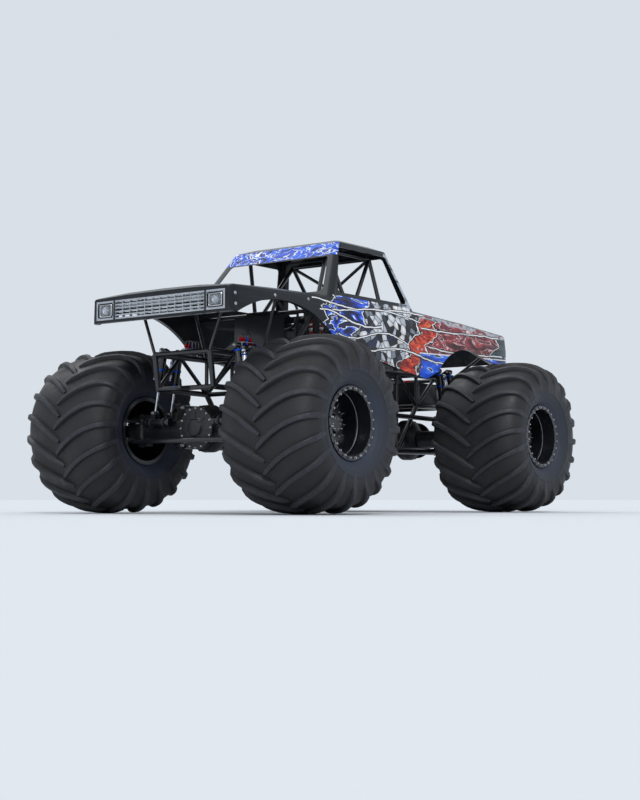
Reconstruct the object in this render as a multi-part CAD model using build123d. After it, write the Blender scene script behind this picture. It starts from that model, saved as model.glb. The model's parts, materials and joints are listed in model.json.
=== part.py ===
# Stadium monster truck: a slim fibreglass pickup body on a tubular space frame, two planetary axles
# on four-link suspension, four-wheel steering and 66 inch chevron-lug tyres.
# Millimetres. X points to the truck's left, Y to its tail and Z up. The origin is on the floor,
# midway between the axles.
from math import asin, cos, degrees, pi, radians, sin, sqrt
import os

from build123d import *

os.makedirs("parts", exist_ok=True)

# Stance
wheelbase = 3600.0
track = 2570.0
axle_y = wheelbase / 2
wheel_x = track / 2

# Tyre
tyre_diameter = 1676.0
tyre_width = 1090.0
tread_width = 960.0
shoulder_width = 1010.0
shoulder_drop = 66.0
sidewall_radius = 600.0
lug_height = 46.0
lug_width = 60.0
lug_sweep = 21.0
lug_overlap = 28.0
lug_overhang = 14.0
lug_fall = 0.62
lug_root = 30.0
lugs_per_side = 20
carcass_flats = 16
bead_gap = 1.0
axle_height = tyre_diameter / 2
tread_radius = axle_height - lug_height

# Rim and hub
rim_diameter = 635.0
rim_width = 914.0
rim_wall = 12.0
rim_flange = 26.0
flange_thickness = 14.0
disc_offset = 150.0
disc_thickness = 22.0
planetary_radius = 185.0
planetary_depth = 95.0
cap_radius = 105.0
cap_depth = 55.0
hub_radius = 130.0
hub_inner_gap = 45.0

# Knuckle and steering
kingpin_x = 880.0
kingpin_radius = 24.0
knuckle_barrel_radius = 48.0
knuckle_height = 236.0
ear_gap = 6.0
ear_thickness = 35.0
ear_radius = 42.0
flange_standoff = 55.0
spindle_flange_radius = 140.0
spindle_flange_thickness = 26.0
spindle_radius = 75.0
spindle_length = 330.0
bearing_gap = 0.1
arm_length = 220.0
arm_width = 58.0
arm_thickness = 28.0
arm_gap = 3.0
tie_drop = 120.0
tie_rod_radius = 20.0
tie_eye_radius = 27.0
tie_neck_radius = 12.0
tie_neck_length = 78.0
tie_sleeve_inset = 150.0
tie_sleeve_wall = 4.0
tie_pin_radius = 13.0
pin_gap = 0.5
ram_rise = 60.0
ram_rod_radius = 13.0
ram_barrel_radius = 36.0
ram_barrel_start = 285.0
ram_barrel_length = 340.0
ram_rod_inset = 112.0
ram_gland_length = 28.0
ram_gland_wall = 7.0
ram_floor = 20.0

# Axle housing
pumpkin_radius = 235.0
pumpkin_offset = 35.0
pumpkin_width = 170.0
pumpkin_taper = 80.0
pumpkin_ribs = 7
rib_pitch = 22.0
rib_height = 9.0
rib_thickness = 12.0
beam_inner_radius = 108.0
beam_outer_radius = 80.0
beam_start = 150.0
yoke_back = 110.0
yoke_plate = 30.0
yoke_width = 96.0
pinion_radius = 92.0
pinion_reach = 420.0

# Four-link suspension
lower_link_x = 440.0
lower_link_drop = 150.0
lower_link_radius = 36.0
lower_link_frame_y = 420.0
lower_link_frame_z = 680.0
upper_link_x = 440.0
upper_link_rise = 225.0
upper_link_radius = 27.0
upper_link_frame_y = 430.0
upper_link_frame_z = 1080.0
link_axle_setback = 70.0
link_eye_radius = 42.0
link_eye_width = 56.0
link_neck = 80.0
link_neck_radius = 22.0
tab_thickness = 12.0
tab_height = 96.0

# Shocks, two at each wheel
shock_low_x = 590.0
shock_low_rise = 165.0
shock_top_x = 480.0
shock_top_z = 1625.0
shock_spread = 115.0
shock_body_radius = 40.0
shock_body_share = 0.56
shock_shaft_radius = 15.0
shock_eye_radius = 26.0
shock_neck = 60.0
shock_eye_width = 44.0

# Space frame
rail_x = 360.0
rail_radius = 28.0
cross_radius = 24.0
brace_radius = 20.0
weld_gap = 1.0
belly_z = 660.0
rail_top_z = 1560.0
kick_z = 1210.0
cage_radius = 22.0
tow_reach = 85.0
tow_bore = 16.0
tow_eye_radius = 34.0
tow_root = 95.0
tow_thickness = 26.0

# Body
body_wall = 12.0
lip_width = 42.0
lip_thickness = 12.0
front_overhang = 700.0
rear_overhang = 690.0
nose_y = -axle_y - front_overhang
cowl_y = -1020.0
bed_y = 520.0
tail_y = axle_y + rear_overhang
skirt_z = 1300.0
side_break = 190.0
roof_z = 2795.0
roof_crown = 50.0
roof_half_width = 710.0
roof_front_y = -570.0
roof_rear_y = 300.0
glass_low_z = 2150.0
glass_half_width = 935.0
glass_front_y = -1015.0
glass_rear_y = 515.0
sill_z = 2225.0
header_z = 2735.0
visor_drop = 95.0
rail_flange = 105.0
arch_radius = 1200.0
fender_low_z = 1868.0
arch_end_z = 1700.0
pillar_radius = 60.0
window_radius = 45.0
hood_rise = 20.0
hood_rise_half_width = 270.0
bed_half_width = 920.0
gate_recess = 7.0
gate_low_z = 1790.0
gate_high_z = 2005.0
gate_margin = 110.0

# Grille and headlamps
grille_half_width = 590.0
lamp_half_width = 832.0
fascia_low_z = 1895.0
fascia_high_z = 2080.0
grille_depth = 50.0
grille_rim = 16.0
grille_bars = 4
grille_ribs = 11

# Engine and driveline
crank_z = 1130.0
engine_front_y = 405.0
engine_rear_y = 985.0
bank_angle = 45.0
deck_height = 250.0
head_height = 100.0
cover_height = 56.0
header_radius = 20.0
rotor_rise = 408.0
case_length = 450.0
snout_radius = 40.0
crank_nose_radius = 30.0
belt_offset = 62.0
belt_width = 66.0
belt_thickness = 9.0
top_pulley_radius = 62.0
low_pulley_radius = 78.0
shaft_radius = 42.0
gearbox_front_y = -330.0
transfer_front_y = -500.0


def at(x, y, z):
    return Location((x, y, z))


def rod(start, end, radius):
    """A round bar or tube from one point to another."""
    a, b = Vector(*start), Vector(*end)
    return Solid.make_cylinder(radius, (b - a).length, Plane(origin=a, z_dir=b - a))


def bent_rod(points, radius, bend):
    """A round bar that follows a polyline with its corners bent."""
    path = FilletPolyline(*points, radius=bend)
    return sweep(Plane(origin=path @ 0, z_dir=path % 0) * Circle(radius), path=path)


def plate(points, plane, thickness):
    """A flat plate of the given outline, centred on its plane."""
    return extrude(plane * make_face(Polyline(*points, close=True)), thickness / 2, both=True)


def across(y0, y1, z0, z1, x0, x1):
    """A rectangular block from its corners."""
    return Pos((x0 + x1) / 2, (y0 + y1) / 2, (z0 + z1) / 2) * Box(x1 - x0, y1 - y0, z1 - z0)


def left_and_right(shapes):
    return list(shapes) + [s.mirror(Plane.YZ) for s in shapes]


def front_and_rear(shapes):
    return list(shapes) + [s.rotate(Axis.Z, 180) for s in shapes]


def weld(shapes):
    """One shape from several, joined one at a time."""
    whole = shapes[0]
    for shape in shapes[1:]:
        whole = whole.fuse(shape)
    return whole


def solids_of(shape):
    return shape.solids() if hasattr(shape, "solids") else [s for x in shape for s in x.solids()]


def save(name, shapes):
    """Writes one sub-part, whose pieces don't touch each other."""
    solids = [s for shape in (shapes if isinstance(shapes, list) else [shapes]) for s in shape.solids()]
    export_step(solids[0] if len(solids) == 1 else Compound(children=solids), f"parts/{name}.step")
    return solids


# Tyre: a carcass of flats with bevelled shoulders, and a lug for each side and pitch.
# Its axis is X through the origin, and its outer side faces +X.
lug_shift = radians(lug_sweep) / 2 * axle_height
lug_peak = sqrt(axle_height ** 2 - (lug_shift + lug_width / 2) ** 2)


def faceted(quads):
    """A closed solid from flat faces with four corners each."""
    return Solid(Shell([Face(Wire.make_polygon(quad, close=True)) for quad in quads]))


def lug(turn, side):
    """A straight bar from the mid plane to the shoulder, which leads it round the tread."""
    root = tread_radius - lug_root
    outer_top = lug_peak - shoulder_drop * lug_fall
    # columns: distance from the mid plane towards its own side, shift round the tread, top, root
    ends = ((-lug_overlap, lug_shift, lug_peak, root),
            (tread_width / 2 + lug_overhang, -lug_shift, outer_top, root - shoulder_drop))
    corners = []
    for x, shift, high, low in ends:
        for edge in (shift - lug_width / 2, shift + lug_width / 2):
            for height in (high, low):
                corners.append(Vector(side * x, edge, -height).rotate(Axis.X, -turn))
    sides = ((0, 1, 3, 2), (4, 6, 7, 5), (0, 2, 6, 4), (1, 5, 7, 3), (0, 4, 5, 1), (2, 3, 7, 6))
    return faceted([[corners[i] for i in side_corners] for side_corners in sides])


def carcass_point(x, radius, step):
    turn = 2 * pi * step / carcass_flats
    corner = radius / cos(pi / carcass_flats)
    return Vector(x, corner * sin(turn), -corner * cos(turn))


def carcass():
    # columns: distance from the mid plane, distance of the flats from the axle
    bead = rim_diameter / 2 + bead_gap
    half = [(rim_width / 2, bead), (rim_width / 2, bead + rim_flange), (tyre_width / 2, sidewall_radius),
            (shoulder_width / 2, tread_radius - shoulder_drop),
            (tread_width / 2 - shoulder_drop, tread_radius)]
    section = half + [(-x, r) for x, r in reversed(half)]
    quads = []
    for (x0, r0), (x1, r1) in zip(section, section[1:] + section[:1]):
        for i in range(carcass_flats):
            ring = ((x0, r0, i), (x1, r1, i), (x1, r1, i + 1), (x0, r0, i + 1))
            quads.append([carcass_point(*corner) for corner in ring])
    return faceted(quads)


def tyre():
    pitch = 360.0 / lugs_per_side
    # One corner of a lug's top is straight below the axle.
    phase = degrees(asin((lug_shift + lug_width / 2) / axle_height))
    lugs = [lug(phase + pitch * i, 1) for i in range(lugs_per_side)]
    lugs += [lug(phase + pitch * (i + 0.5), -1) for i in range(lugs_per_side)]
    return carcass().fuse(*lugs)


def wheel():
    """Rim, centre disc and planetary hub, on the X axis with the open dish at +X."""
    bead, inner = rim_diameter / 2, rim_diameter / 2 - rim_wall
    half, lip = rim_width / 2, rim_diameter / 2 + rim_flange
    hub_in = kingpin_x + flange_standoff + spindle_flange_thickness + hub_inner_gap - wheel_x
    spindle_end = kingpin_x + flange_standoff + spindle_length - wheel_x + hub_inner_gap
    disc_in, disc_out = disc_offset - disc_thickness, disc_offset
    edge, case_end = half + flange_thickness, disc_out + planetary_depth
    cap_end, bearing = case_end + cap_depth, spindle_radius + bearing_gap
    # columns: distance along the axle, radius
    section = ((-edge, inner), (-edge, lip), (-half, lip), (-half, bead), (half, bead), (half, lip),
               (edge, lip), (edge, inner), (disc_out, inner), (disc_out, planetary_radius),
               (case_end, planetary_radius - 10.0), (case_end, cap_radius), (cap_end, cap_radius - 30.0),
               (cap_end, 0.0), (spindle_end, 0.0), (spindle_end, bearing), (hub_in, bearing),
               (hub_in, hub_radius), (disc_in, hub_radius), (disc_in, inner))
    return revolve(make_face(Polyline(*section, close=True)), Axis.X, 360)


# The knuckle turns on the kingpin and carries the spindle. Left front, around the axle's own centre.
def knuckle():
    half = knuckle_height / 2
    body = Pos(kingpin_x, 0, 0) * Cylinder(knuckle_barrel_radius, knuckle_height)
    pin_length = knuckle_height + 2 * (ear_gap + ear_thickness + 8.0)
    body += Pos(kingpin_x, 0, 0) * Cylinder(kingpin_radius, pin_length)
    face = kingpin_x + flange_standoff
    body += across(-70, 70, -85, 85, kingpin_x, face)
    body += rod((face, 0, 0), (face + spindle_flange_thickness, 0, 0), spindle_flange_radius)
    body += rod((face, 0, 0), (face + spindle_length, 0, 0), spindle_radius)
    for centre in (ram_rise + arm_thickness + arm_gap, -tie_drop + arm_thickness + arm_gap):
        arm = across(-arm_length, 0, centre - arm_thickness / 2, centre + arm_thickness / 2,
                     kingpin_x - arm_width / 2, kingpin_x + arm_width / 2)
        eye = Pos(kingpin_x, -arm_length, centre) * Cylinder(arm_width / 2, arm_thickness)
        body += arm + eye
    pin_low, pin_high = -tie_drop - arm_thickness / 2 - 6.0, -tie_drop + arm_thickness / 2 + arm_gap
    body += rod((kingpin_x, -arm_length, pin_low), (kingpin_x, -arm_length, pin_high + 1.0), tie_pin_radius)
    return body


def tie_bar(reach, radius):
    return rod((-reach, -arm_length, -tie_drop), (reach, -arm_length, -tie_drop), radius)


def tie_rod():
    pins = [Pos(side * kingpin_x, -arm_length, -tie_drop) for side in (-1, 1)]
    eyes = [pin * Cylinder(tie_eye_radius, arm_thickness) for pin in pins]
    bar = weld([tie_bar(kingpin_x, tie_neck_radius)] + eyes)
    bar += tie_bar(kingpin_x - tie_neck_length, tie_rod_radius)
    bar += tie_bar(kingpin_x - tie_sleeve_inset, tie_rod_radius + tie_sleeve_wall)
    for pin in pins:
        bar -= pin * Cylinder(tie_pin_radius + pin_gap, arm_thickness + 2.0)
    return bar


def ram_rod():
    eye = Pos(kingpin_x, -arm_length, ram_rise) * Cylinder(tie_eye_radius, arm_thickness)
    start = ram_barrel_start + ram_rod_inset
    return eye + rod((start, -arm_length, ram_rise), (kingpin_x, -arm_length, ram_rise), ram_rod_radius)


def ram_bar(x0, x1, radius):
    return rod((x0, -arm_length, ram_rise), (x1, -arm_length, ram_rise), radius)


def ram_barrel():
    start, end = ram_barrel_start, ram_barrel_start + ram_barrel_length
    gland_radius = ram_barrel_radius + ram_gland_wall
    body = ram_bar(start, end, ram_barrel_radius)
    body += ram_bar(start, start + ram_gland_length, gland_radius)
    body += ram_bar(end - ram_gland_length, end, gland_radius)
    return body - ram_bar(start + ram_floor, end + 1.0, ram_rod_radius + bearing_gap)


def beam_radius(x):
    share = (x - beam_start) / (kingpin_x - yoke_back - beam_start)
    return beam_inner_radius + (beam_outer_radius - beam_inner_radius) * share


def axle_housing():
    """Differential, beams, steering yokes and brackets, around the axle's own centre, pinion towards +Y."""
    half, step = pumpkin_width / 2, pumpkin_taper
    # columns: distance along the axle, radius
    bowl = [(-half - step, 0), (-half - step, beam_inner_radius), (-half, pumpkin_radius - 30.0),
            (-half + 40.0, pumpkin_radius), (half - 40.0, pumpkin_radius), (half, pumpkin_radius - 30.0),
            (half + step, beam_inner_radius), (half + step, 0)]
    body = Pos(0, pumpkin_offset, 0) * revolve(make_face(Polyline(*bowl, close=True)), Axis.X, 360)
    neck = Plane(origin=(0, pumpkin_offset, 0), z_dir=(0, 1, 0))
    reach = pinion_reach - pumpkin_offset
    body += loft([neck * Circle(pinion_radius + 55.0), neck.offset(reach) * Circle(pinion_radius - 20.0)])
    rib = make_face(Polyline(*[(x, r + rib_height * (r > 0)) for x, r in bowl], close=True))
    fin = extrude(rib, rib_thickness / 2, both=True)
    for i in range(pumpkin_ribs):
        turn = 180.0 + rib_pitch * (i - (pumpkin_ribs - 1) / 2)
        body += Pos(0, pumpkin_offset, 0) * Rot(turn, 0, 0) * fin
    end = kingpin_x - yoke_back
    for side in (-1, 1):
        inner = Plane(origin=(side * beam_start, 0, 0), z_dir=(side, 0, 0))
        outer = inner.offset(end - beam_start + 4.0)
        body += loft([inner * Circle(beam_inner_radius), outer * Circle(beam_outer_radius)])
    low = knuckle_height / 2 + ear_gap
    high = low + ear_thickness
    for side in (-1, 1):
        x0, x1 = sorted((side * end, side * (end + yoke_plate)))
        body += across(-yoke_width / 2, yoke_width / 2, -high, high, x0, x1)
        for level in (-1, 1):
            z0, z1 = sorted((level * low, level * high))
            x0, x1 = sorted((side * end, side * kingpin_x))
            ear = across(-ear_radius, ear_radius, z0, z1, x0, x1)
            ear += Pos(side * kingpin_x, 0, (z0 + z1) / 2) * Cylinder(ear_radius, ear_thickness)
            body += ear
        body -= Pos(side * kingpin_x, 0, 0) * Cylinder(kingpin_radius + bearing_gap, 2 * high + 10.0)
    for side in (-1, 1):
        body += link_tabs(side * lower_link_x, link_axle_setback, -lower_link_drop, 0.0)
        body += link_tabs(side * upper_link_x, link_axle_setback, upper_link_rise, 0.0)
        body += shock_tabs(side)
        body += ram_tabs(side)
    return body


def link_tabs(x, y, z, root_z):
    """Two ears on the beam that hold a link's eye between them."""
    ears = None
    for side in (-1, 1):
        centre = x + side * (link_eye_width + tab_thickness) / 2
        outline = ((y - link_eye_radius, z), (-40.0, root_z), (40.0, root_z), (y + link_eye_radius, z))
        plane = Plane(origin=(centre, 0, 0), x_dir=(0, 1, 0), z_dir=(1, 0, 0))
        ear = plate(outline, plane, tab_thickness)
        ear += plane * Pos(y, z, 0) * Cylinder(link_eye_radius, tab_thickness)
        ears = ear if ears is None else ears + ear
    return ears


def shock_tabs(side):
    """A saddle on the beam with an ear inside and outside each shock's lower eye."""
    x = side * shock_low_x
    reach = shock_spread + shock_eye_width / 2 + tab_thickness
    beam = beam_radius(shock_low_x)
    bridge = across(-reach, reach, beam - 30.0, beam + 12.0, x - 35.0, x + 35.0)
    for centre in (-shock_spread, shock_spread):
        for end in (-1, 1):
            y = centre + end * (shock_eye_width + tab_thickness) / 2
            ear = across(y - tab_thickness / 2, y + tab_thickness / 2, beam - 10.0, shock_low_rise,
                         x - shock_eye_radius, x + shock_eye_radius)
            ear += Pos(x, y, shock_low_rise) * (Rot(90, 0, 0) * Cylinder(shock_eye_radius, tab_thickness))
            bridge += ear
    return bridge


def ram_tabs(side):
    """Clamps that carry a steering ram's barrel in front of the beam."""
    tabs = None
    for share in (0.22, 0.72):
        x = side * (ram_barrel_start + share * ram_barrel_length)
        clamp = across(-arm_length, 0, ram_rise - 24.0, ram_rise + 24.0, x - 11.0, x + 11.0)
        clamp += Pos(x, -arm_length, ram_rise) * (Rot(0, 90, 0) * Cylinder(ram_barrel_radius + 12.0, 22.0))
        clamp -= Pos(x, -arm_length, ram_rise) * (Rot(0, 90, 0) * Cylinder(ram_barrel_radius, 24.0))
        tabs = clamp if tabs is None else tabs + clamp
    return tabs


def link(axle_end, frame_end, radius):
    a, b = Vector(*axle_end), Vector(*frame_end)
    along = (b - a).normalized()
    bar = rod(a + along * link_neck, b - along * link_neck, radius)
    bar += rod(a, b, link_neck_radius)
    for end in (axle_end, frame_end):
        eye = Pos(*end) * (Rot(0, 90, 0) * Cylinder(link_eye_radius, link_eye_width))
        bar += eye
    return bar


def links():
    """The two lower and two upper links of the front axle."""
    y = -axle_y + link_axle_setback
    lower_end = (lower_link_x, -lower_link_frame_y, lower_link_frame_z)
    upper_end = (upper_link_x, -upper_link_frame_y, upper_link_frame_z)
    lower = link((lower_link_x, y, axle_height - lower_link_drop), lower_end, lower_link_radius)
    upper = link((upper_link_x, y, axle_height + upper_link_rise), upper_end, upper_link_radius)
    return left_and_right([lower, upper])


def shock_ends(side_y):
    low = Vector(shock_low_x, -axle_y + side_y * shock_spread, axle_height + shock_low_rise)
    top = Vector(shock_top_x, -axle_y + side_y * shock_spread, shock_top_z)
    return low, top


def shocks():
    """Bodies and shafts of the two left front shocks."""
    bodies, shafts = [], []
    for side_y in (-1, 1):
        low, top = shock_ends(side_y)
        along = (low - top).normalized()
        split = top + along * ((low - top).length * shock_body_share)
        body = rod(top + along * shock_neck, split, shock_body_radius)
        body += rod(top, top + along * (shock_neck + 4.0), shock_shaft_radius)
        body += Pos(*top) * (Rot(90, 0, 0) * Cylinder(shock_eye_radius, shock_eye_width))
        shaft = rod(split, low, shock_shaft_radius)
        shaft += Pos(*low) * (Rot(90, 0, 0) * Cylinder(shock_eye_radius, shock_eye_width))
        shaft += rod(split, split + along * 22.0, shock_body_radius - 8.0)
        bodies.append(body)
        shafts.append(shaft)
    return bodies, shafts


# The front half of the frame's side truss. columns: name, distance ahead of the middle, z
joints = {name: (-y, z) for name, y, z in (
    ("low_end", 2120.0, kick_z + 10.0), ("kick", 1400.0, kick_z), ("belly_end", 1000.0, belly_z),
    ("belly", 400.0, belly_z), ("belly_mid", 0.0, belly_z), ("top_end", 2170.0, rail_top_z),
    ("tower", axle_y, rail_top_z), ("top_kick", 1400.0, rail_top_z), ("top_belly", 1000.0, rail_top_z),
    ("top_mid", 400.0, rail_top_z))}
# Rails that run through to the same joint of the rear half
through_rails = ("top_end", "belly_end")
# columns: one end, other end, radius
braces = (("kick", "belly_end", rail_radius), ("low_end", "top_end", rail_radius),
          ("low_end", "tower", brace_radius), ("tower", "kick", brace_radius), ("kick", "top_kick", brace_radius),
          ("kick", "top_belly", brace_radius), ("belly_end", "top_belly", brace_radius),
          ("belly", "top_mid", brace_radius), ("belly_end", "top_mid", brace_radius),
          ("top_mid", "belly_mid", brace_radius))
crossings = ("low_end", "kick", "belly_end", "belly", "top_end", "top_kick", "top_mid")
# This crossmember is in front only: behind the cab the blower's belt takes its place.
front_crossings = ("top_belly",)


def boxes_meet(one, other):
    a, b = one.bounding_box(), other.bounding_box()
    return all(getattr(a.min, c) <= getattr(b.max, c) and getattr(b.min, c) <= getattr(a.max, c) for c in "XYZ")


def fitted(shape, others):
    """The largest piece of a shape that is left beside others."""
    for other in others:
        if boxes_meet(shape, other):
            shape = shape - other
    return max(solids_of(shape), key=lambda s: s.volume)


def side_rails():
    """The rails of the left side that don't touch each other, and the kick rail of its front half."""
    rails = []
    for name in through_rails:
        y, z = joints[name]
        rails.append(rod((rail_x, y, z), (rail_x, -y, z), rail_radius))
    return rails, rod((rail_x, *joints["low_end"]), (rail_x, *joints["kick"]), rail_radius)


def frame_rails():
    rails, kick_rail = side_rails()
    return left_and_right(rails) + front_and_rear(left_and_right([kick_rail]))


def frame_bracing(rails):
    """The frame's other tubes. Each is cut to fit the rails, with a weld's gap to those cut before it."""
    reach = rail_x - 10.0
    ends = [((-reach, *joints[n]), (reach, *joints[n])) for n in crossings]
    crossers = [fitted(rod(a, b, cross_radius), rails) for a, b in ends]
    front = [((-reach, *joints[n]), (reach, *joints[n])) for n in front_crossings]
    front_only = [fitted(rod(a, b, cross_radius), rails) for a, b in front]
    taken = [grown_rod(a, b, cross_radius) for a, b in ends + front]
    ahead = across(-3000.0, -weld_gap, 0.0, 3000.0, 0.0, 1000.0)
    quarter = []
    for one, other, radius in braces:
        a, b = (rail_x, *joints[one]), (rail_x, *joints[other])
        quarter.append(fitted(rod(a, b, radius) & ahead, rails + taken))
        taken.append(grown_rod(a, b, radius))
    return front_and_rear(left_and_right(quarter) + crossers) + front_only


def grown_rod(start, end, radius):
    a, b = Vector(*start), Vector(*end)
    along = (b - a).normalized() * weld_gap
    return rod(a - along, b + along, radius + weld_gap)


def frame_tabs():
    """Forked brackets that hold the frame ends of a left front corner's two links."""
    forks = []
    for x, y, z in ((lower_link_x, lower_link_frame_y, lower_link_frame_z),
                    (upper_link_x, upper_link_frame_y, upper_link_frame_z)):
        tabs = []
        for side in (-1, 1):
            centre = x + side * (link_eye_width + tab_thickness) / 2
            plane = Plane(origin=(centre, -y, z), x_dir=(0, 1, 0), z_dir=(1, 0, 0))
            tabs.append(plane * Cylinder(link_eye_radius + 6.0, tab_thickness))
        reach = link_eye_width / 2 + tab_thickness
        back = -y + link_eye_radius + 2.0
        x0, x1 = min(x - reach, rail_x), max(x + reach, rail_x)
        tabs.append(across(back, back + tab_thickness, z - tab_height / 2, z + tab_height / 2, x0, x1))
        forks.append(weld(tabs))
    return forks


def shock_tower_tabs():
    """Ears on a left front rail that hold the upper eyes of its two shocks."""
    tabs = []
    for side_y in (-1, 1):
        _, top = shock_ends(side_y)
        for end in (-1, 1):
            y = top.Y + end * (shock_eye_width + tab_thickness) / 2
            outline = ((rail_x - 24.0, rail_top_z - 14.0), (rail_x + 24.0, rail_top_z - 14.0),
                       (top.X + 22.0, top.Z - 20.0), (top.X - 14.0, top.Z + 28.0),
                       (rail_x - 10.0, rail_top_z + 26.0))
            plane = Plane(origin=(0, y, 0), x_dir=(1, 0, 0), z_dir=(0, -1, 0))
            ear = plate(outline, plane, tab_thickness)
            ear += plane * Pos(top.X, top.Z, 0) * Cylinder(shock_eye_radius + 4.0, tab_thickness)
            tabs.append(ear)
    return tabs


def tow_lug():
    """A flat lug on the low end crossmember, with an upright shackle hole."""
    y, z = joints["low_end"]
    tip = y - tow_reach
    eye = Pos(0, tip, z)
    outline = ((-tow_root, y), (tow_root, y), (tow_eye_radius, tip), (-tow_eye_radius, tip))
    lug_plate = plate(outline, Plane(origin=(0, 0, z)), tow_thickness)
    lug_plate += eye * Cylinder(tow_eye_radius, tow_thickness)
    return lug_plate - eye * Cylinder(tow_bore, tow_thickness + 2.0)


def frame_brackets(tubes):
    quarter = [fitted(bracket, tubes) for bracket in frame_tabs() + shock_tower_tabs()]
    return front_and_rear(left_and_right(quarter))


# Roll cage. columns: name, x, y, z of the left side
cage_joints = {name: (x, y, z) for name, x, y, z in (
    ("front_foot", rail_x, -1000.0, rail_top_z), ("mid_foot", rail_x, 400.0, rail_top_z),
    ("rear_foot", rail_x, 1000.0, rail_top_z), ("waist_front", 640.0, -880.0, 2060.0),
    ("waist_mid", 640.0, -270.0, 2060.0), ("waist_rear", 640.0, 340.0, 2060.0),
    ("roof_front", 520.0, -520.0, 2735.0), ("roof_rear", 520.0, 235.0, 2735.0))}
cage_sides = (("front_foot", "waist_front"), ("waist_front", "roof_front"), ("roof_front", "roof_rear"),
              ("roof_rear", "waist_rear"), ("waist_rear", "mid_foot"), ("waist_front", "waist_rear"),
              ("waist_mid", "roof_front"), ("waist_mid", "roof_rear"), ("roof_rear", "rear_foot"),
              ("waist_mid", "front_foot"))
cage_crossings = ("waist_front", "roof_front", "roof_rear", "waist_rear")


def mirrored(point):
    return (-point[0], point[1], point[2])


def roll_cage():
    tubes = []
    for a, b in cage_sides:
        tubes.append(rod(cage_joints[a], cage_joints[b], cage_radius))
        tubes.append(rod(mirrored(cage_joints[a]), mirrored(cage_joints[b]), cage_radius))
    for name in cage_crossings:
        tubes.append(rod(mirrored(cage_joints[name]), cage_joints[name], cage_radius))
    tubes.append(rod(mirrored(cage_joints["waist_rear"]), cage_joints["roof_rear"], cage_radius - 4.0))
    tubes.append(rod(cage_joints["waist_rear"], mirrored(cage_joints["roof_rear"]), cage_radius - 4.0))
    return weld(tubes)


# Body. columns: y, half width, top, crown, lean of the side, drop and step of the upper edge
body_sections = ((nose_y, 872.0, 2112.0, 14.0, 6.0, 24.0, 18.0),
                 (nose_y + 55.0, 908.0, 2130.0, 26.0, 10.0, 34.0, 24.0),
                 (-1900.0, 955.0, 2152.0, 44.0, 20.0, 56.0, 42.0),
                 (cowl_y, 985.0, 2172.0, 40.0, 24.0, 62.0, 46.0),
                 (bed_y, 990.0, 2165.0, 14.0, 24.0, 62.0, 46.0),
                 (1500.0, 975.0, 2128.0, 10.0, 24.0, 56.0, 40.0),
                 (tail_y - 45.0, 940.0, 2078.0, 8.0, 20.0, 46.0, 32.0),
                 (tail_y, 915.0, 2068.0, 6.0, 16.0, 34.0, 24.0))
# The lower edge of the body's side, in runs. A run of three points is an arc. columns: y, z
arch_start_y = -axle_y - sqrt(arch_radius ** 2 - (fender_low_z - axle_height) ** 2)
arch_end_y = -axle_y + sqrt(arch_radius ** 2 - (arch_end_z - axle_height) ** 2)
bed_arch = ((axle_y - 900.0, 1535.0), (axle_y - 500.0, 1795.0), (axle_y - 80.0, 1800.0))
bed_end = (axle_y + 340.0, 1705.0)
edge_runs = (((nose_y - 50.0, fender_low_z), (arch_start_y, fender_low_z)),
             ((arch_start_y, fender_low_z), (-axle_y, axle_height + arch_radius), (arch_end_y, arch_end_z)),
             ((arch_end_y, arch_end_z), (210.0, 1495.0)), ((210.0, 1495.0), (660.0, 1445.0)),
             ((660.0, 1445.0), bed_arch[0]), bed_arch, (bed_arch[2], bed_end),
             (bed_end, (tail_y + 50.0, 1745.0)),
             ((tail_y + 50.0, 1745.0), (tail_y + 50.0, 1200.0)),
             ((tail_y + 50.0, 1200.0), (nose_y - 50.0, 1200.0)),
             ((nose_y - 50.0, 1200.0), (nose_y - 50.0, fender_low_z)))


def body_section(y, half_width, top, crown, lean, drop, step, inset):
    w, t = half_width - inset, top - inset
    half = ((w, skirt_z), (w, t - side_break), (w - lean, t - drop), (w - lean - step * 0.3, t - drop * 0.4),
            (w - lean - step, t - 4.0), (w * 0.5, t + crown * 0.8))
    points = list(half) + [(0.0, t + crown)] + [(-x, z) for x, z in reversed(half)]
    plane = Plane(origin=(0, y, 0), x_dir=(1, 0, 0), z_dir=(0, -1, 0))
    return plane * make_face(Polyline(*points, close=True))


def body_solid(inset):
    rows = [list(row) for row in body_sections]
    rows[0][0] += inset
    rows[-1][0] -= inset
    return loft([body_section(*row, inset) for row in rows], ruled=True)


def below_edge():
    """Everything below the body's lower edge."""
    plane = Plane(origin=(0, 0, 0), x_dir=(0, 1, 0), z_dir=(1, 0, 0))
    runs = [ThreePointArc(*run) if len(run) == 3 else Line(*run) for run in edge_runs]
    return extrude(plane * make_face(Wire(runs)), 1100.0, both=True)


def glass_ring(z, half_width, y0, y1, inset):
    plane = Plane(origin=(0, (y0 + y1) / 2, z), x_dir=(1, 0, 0), z_dir=(0, 0, 1))
    return plane * RectangleRounded(2 * (half_width - inset), y1 - y0 - 2 * inset, pillar_radius - inset)


def greenhouse(inset, low):
    share = (low - glass_low_z) / (roof_z - glass_low_z)
    ends = ((glass_half_width, roof_half_width), (glass_front_y, roof_front_y), (glass_rear_y, roof_rear_y))
    base = [a + (b - a) * share for a, b in ends]
    walls = loft([glass_ring(low, *base, inset),
                  glass_ring(roof_z, roof_half_width, roof_front_y, roof_rear_y, inset)], ruled=True)
    cap = loft([glass_ring(roof_z, roof_half_width, roof_front_y, roof_rear_y, inset),
                glass_ring(roof_z + roof_crown - inset, roof_half_width - 130.0, roof_front_y + 150.0,
                           roof_rear_y - 110.0, inset)], ruled=True)
    return walls + cap


def window(points, plane, depth):
    """A prism with rounded corners that cuts a window."""
    pane = make_face(Polyline(*points, close=True))
    return extrude(plane * fillet(pane.vertices(), window_radius), depth / 2, both=True)


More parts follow.
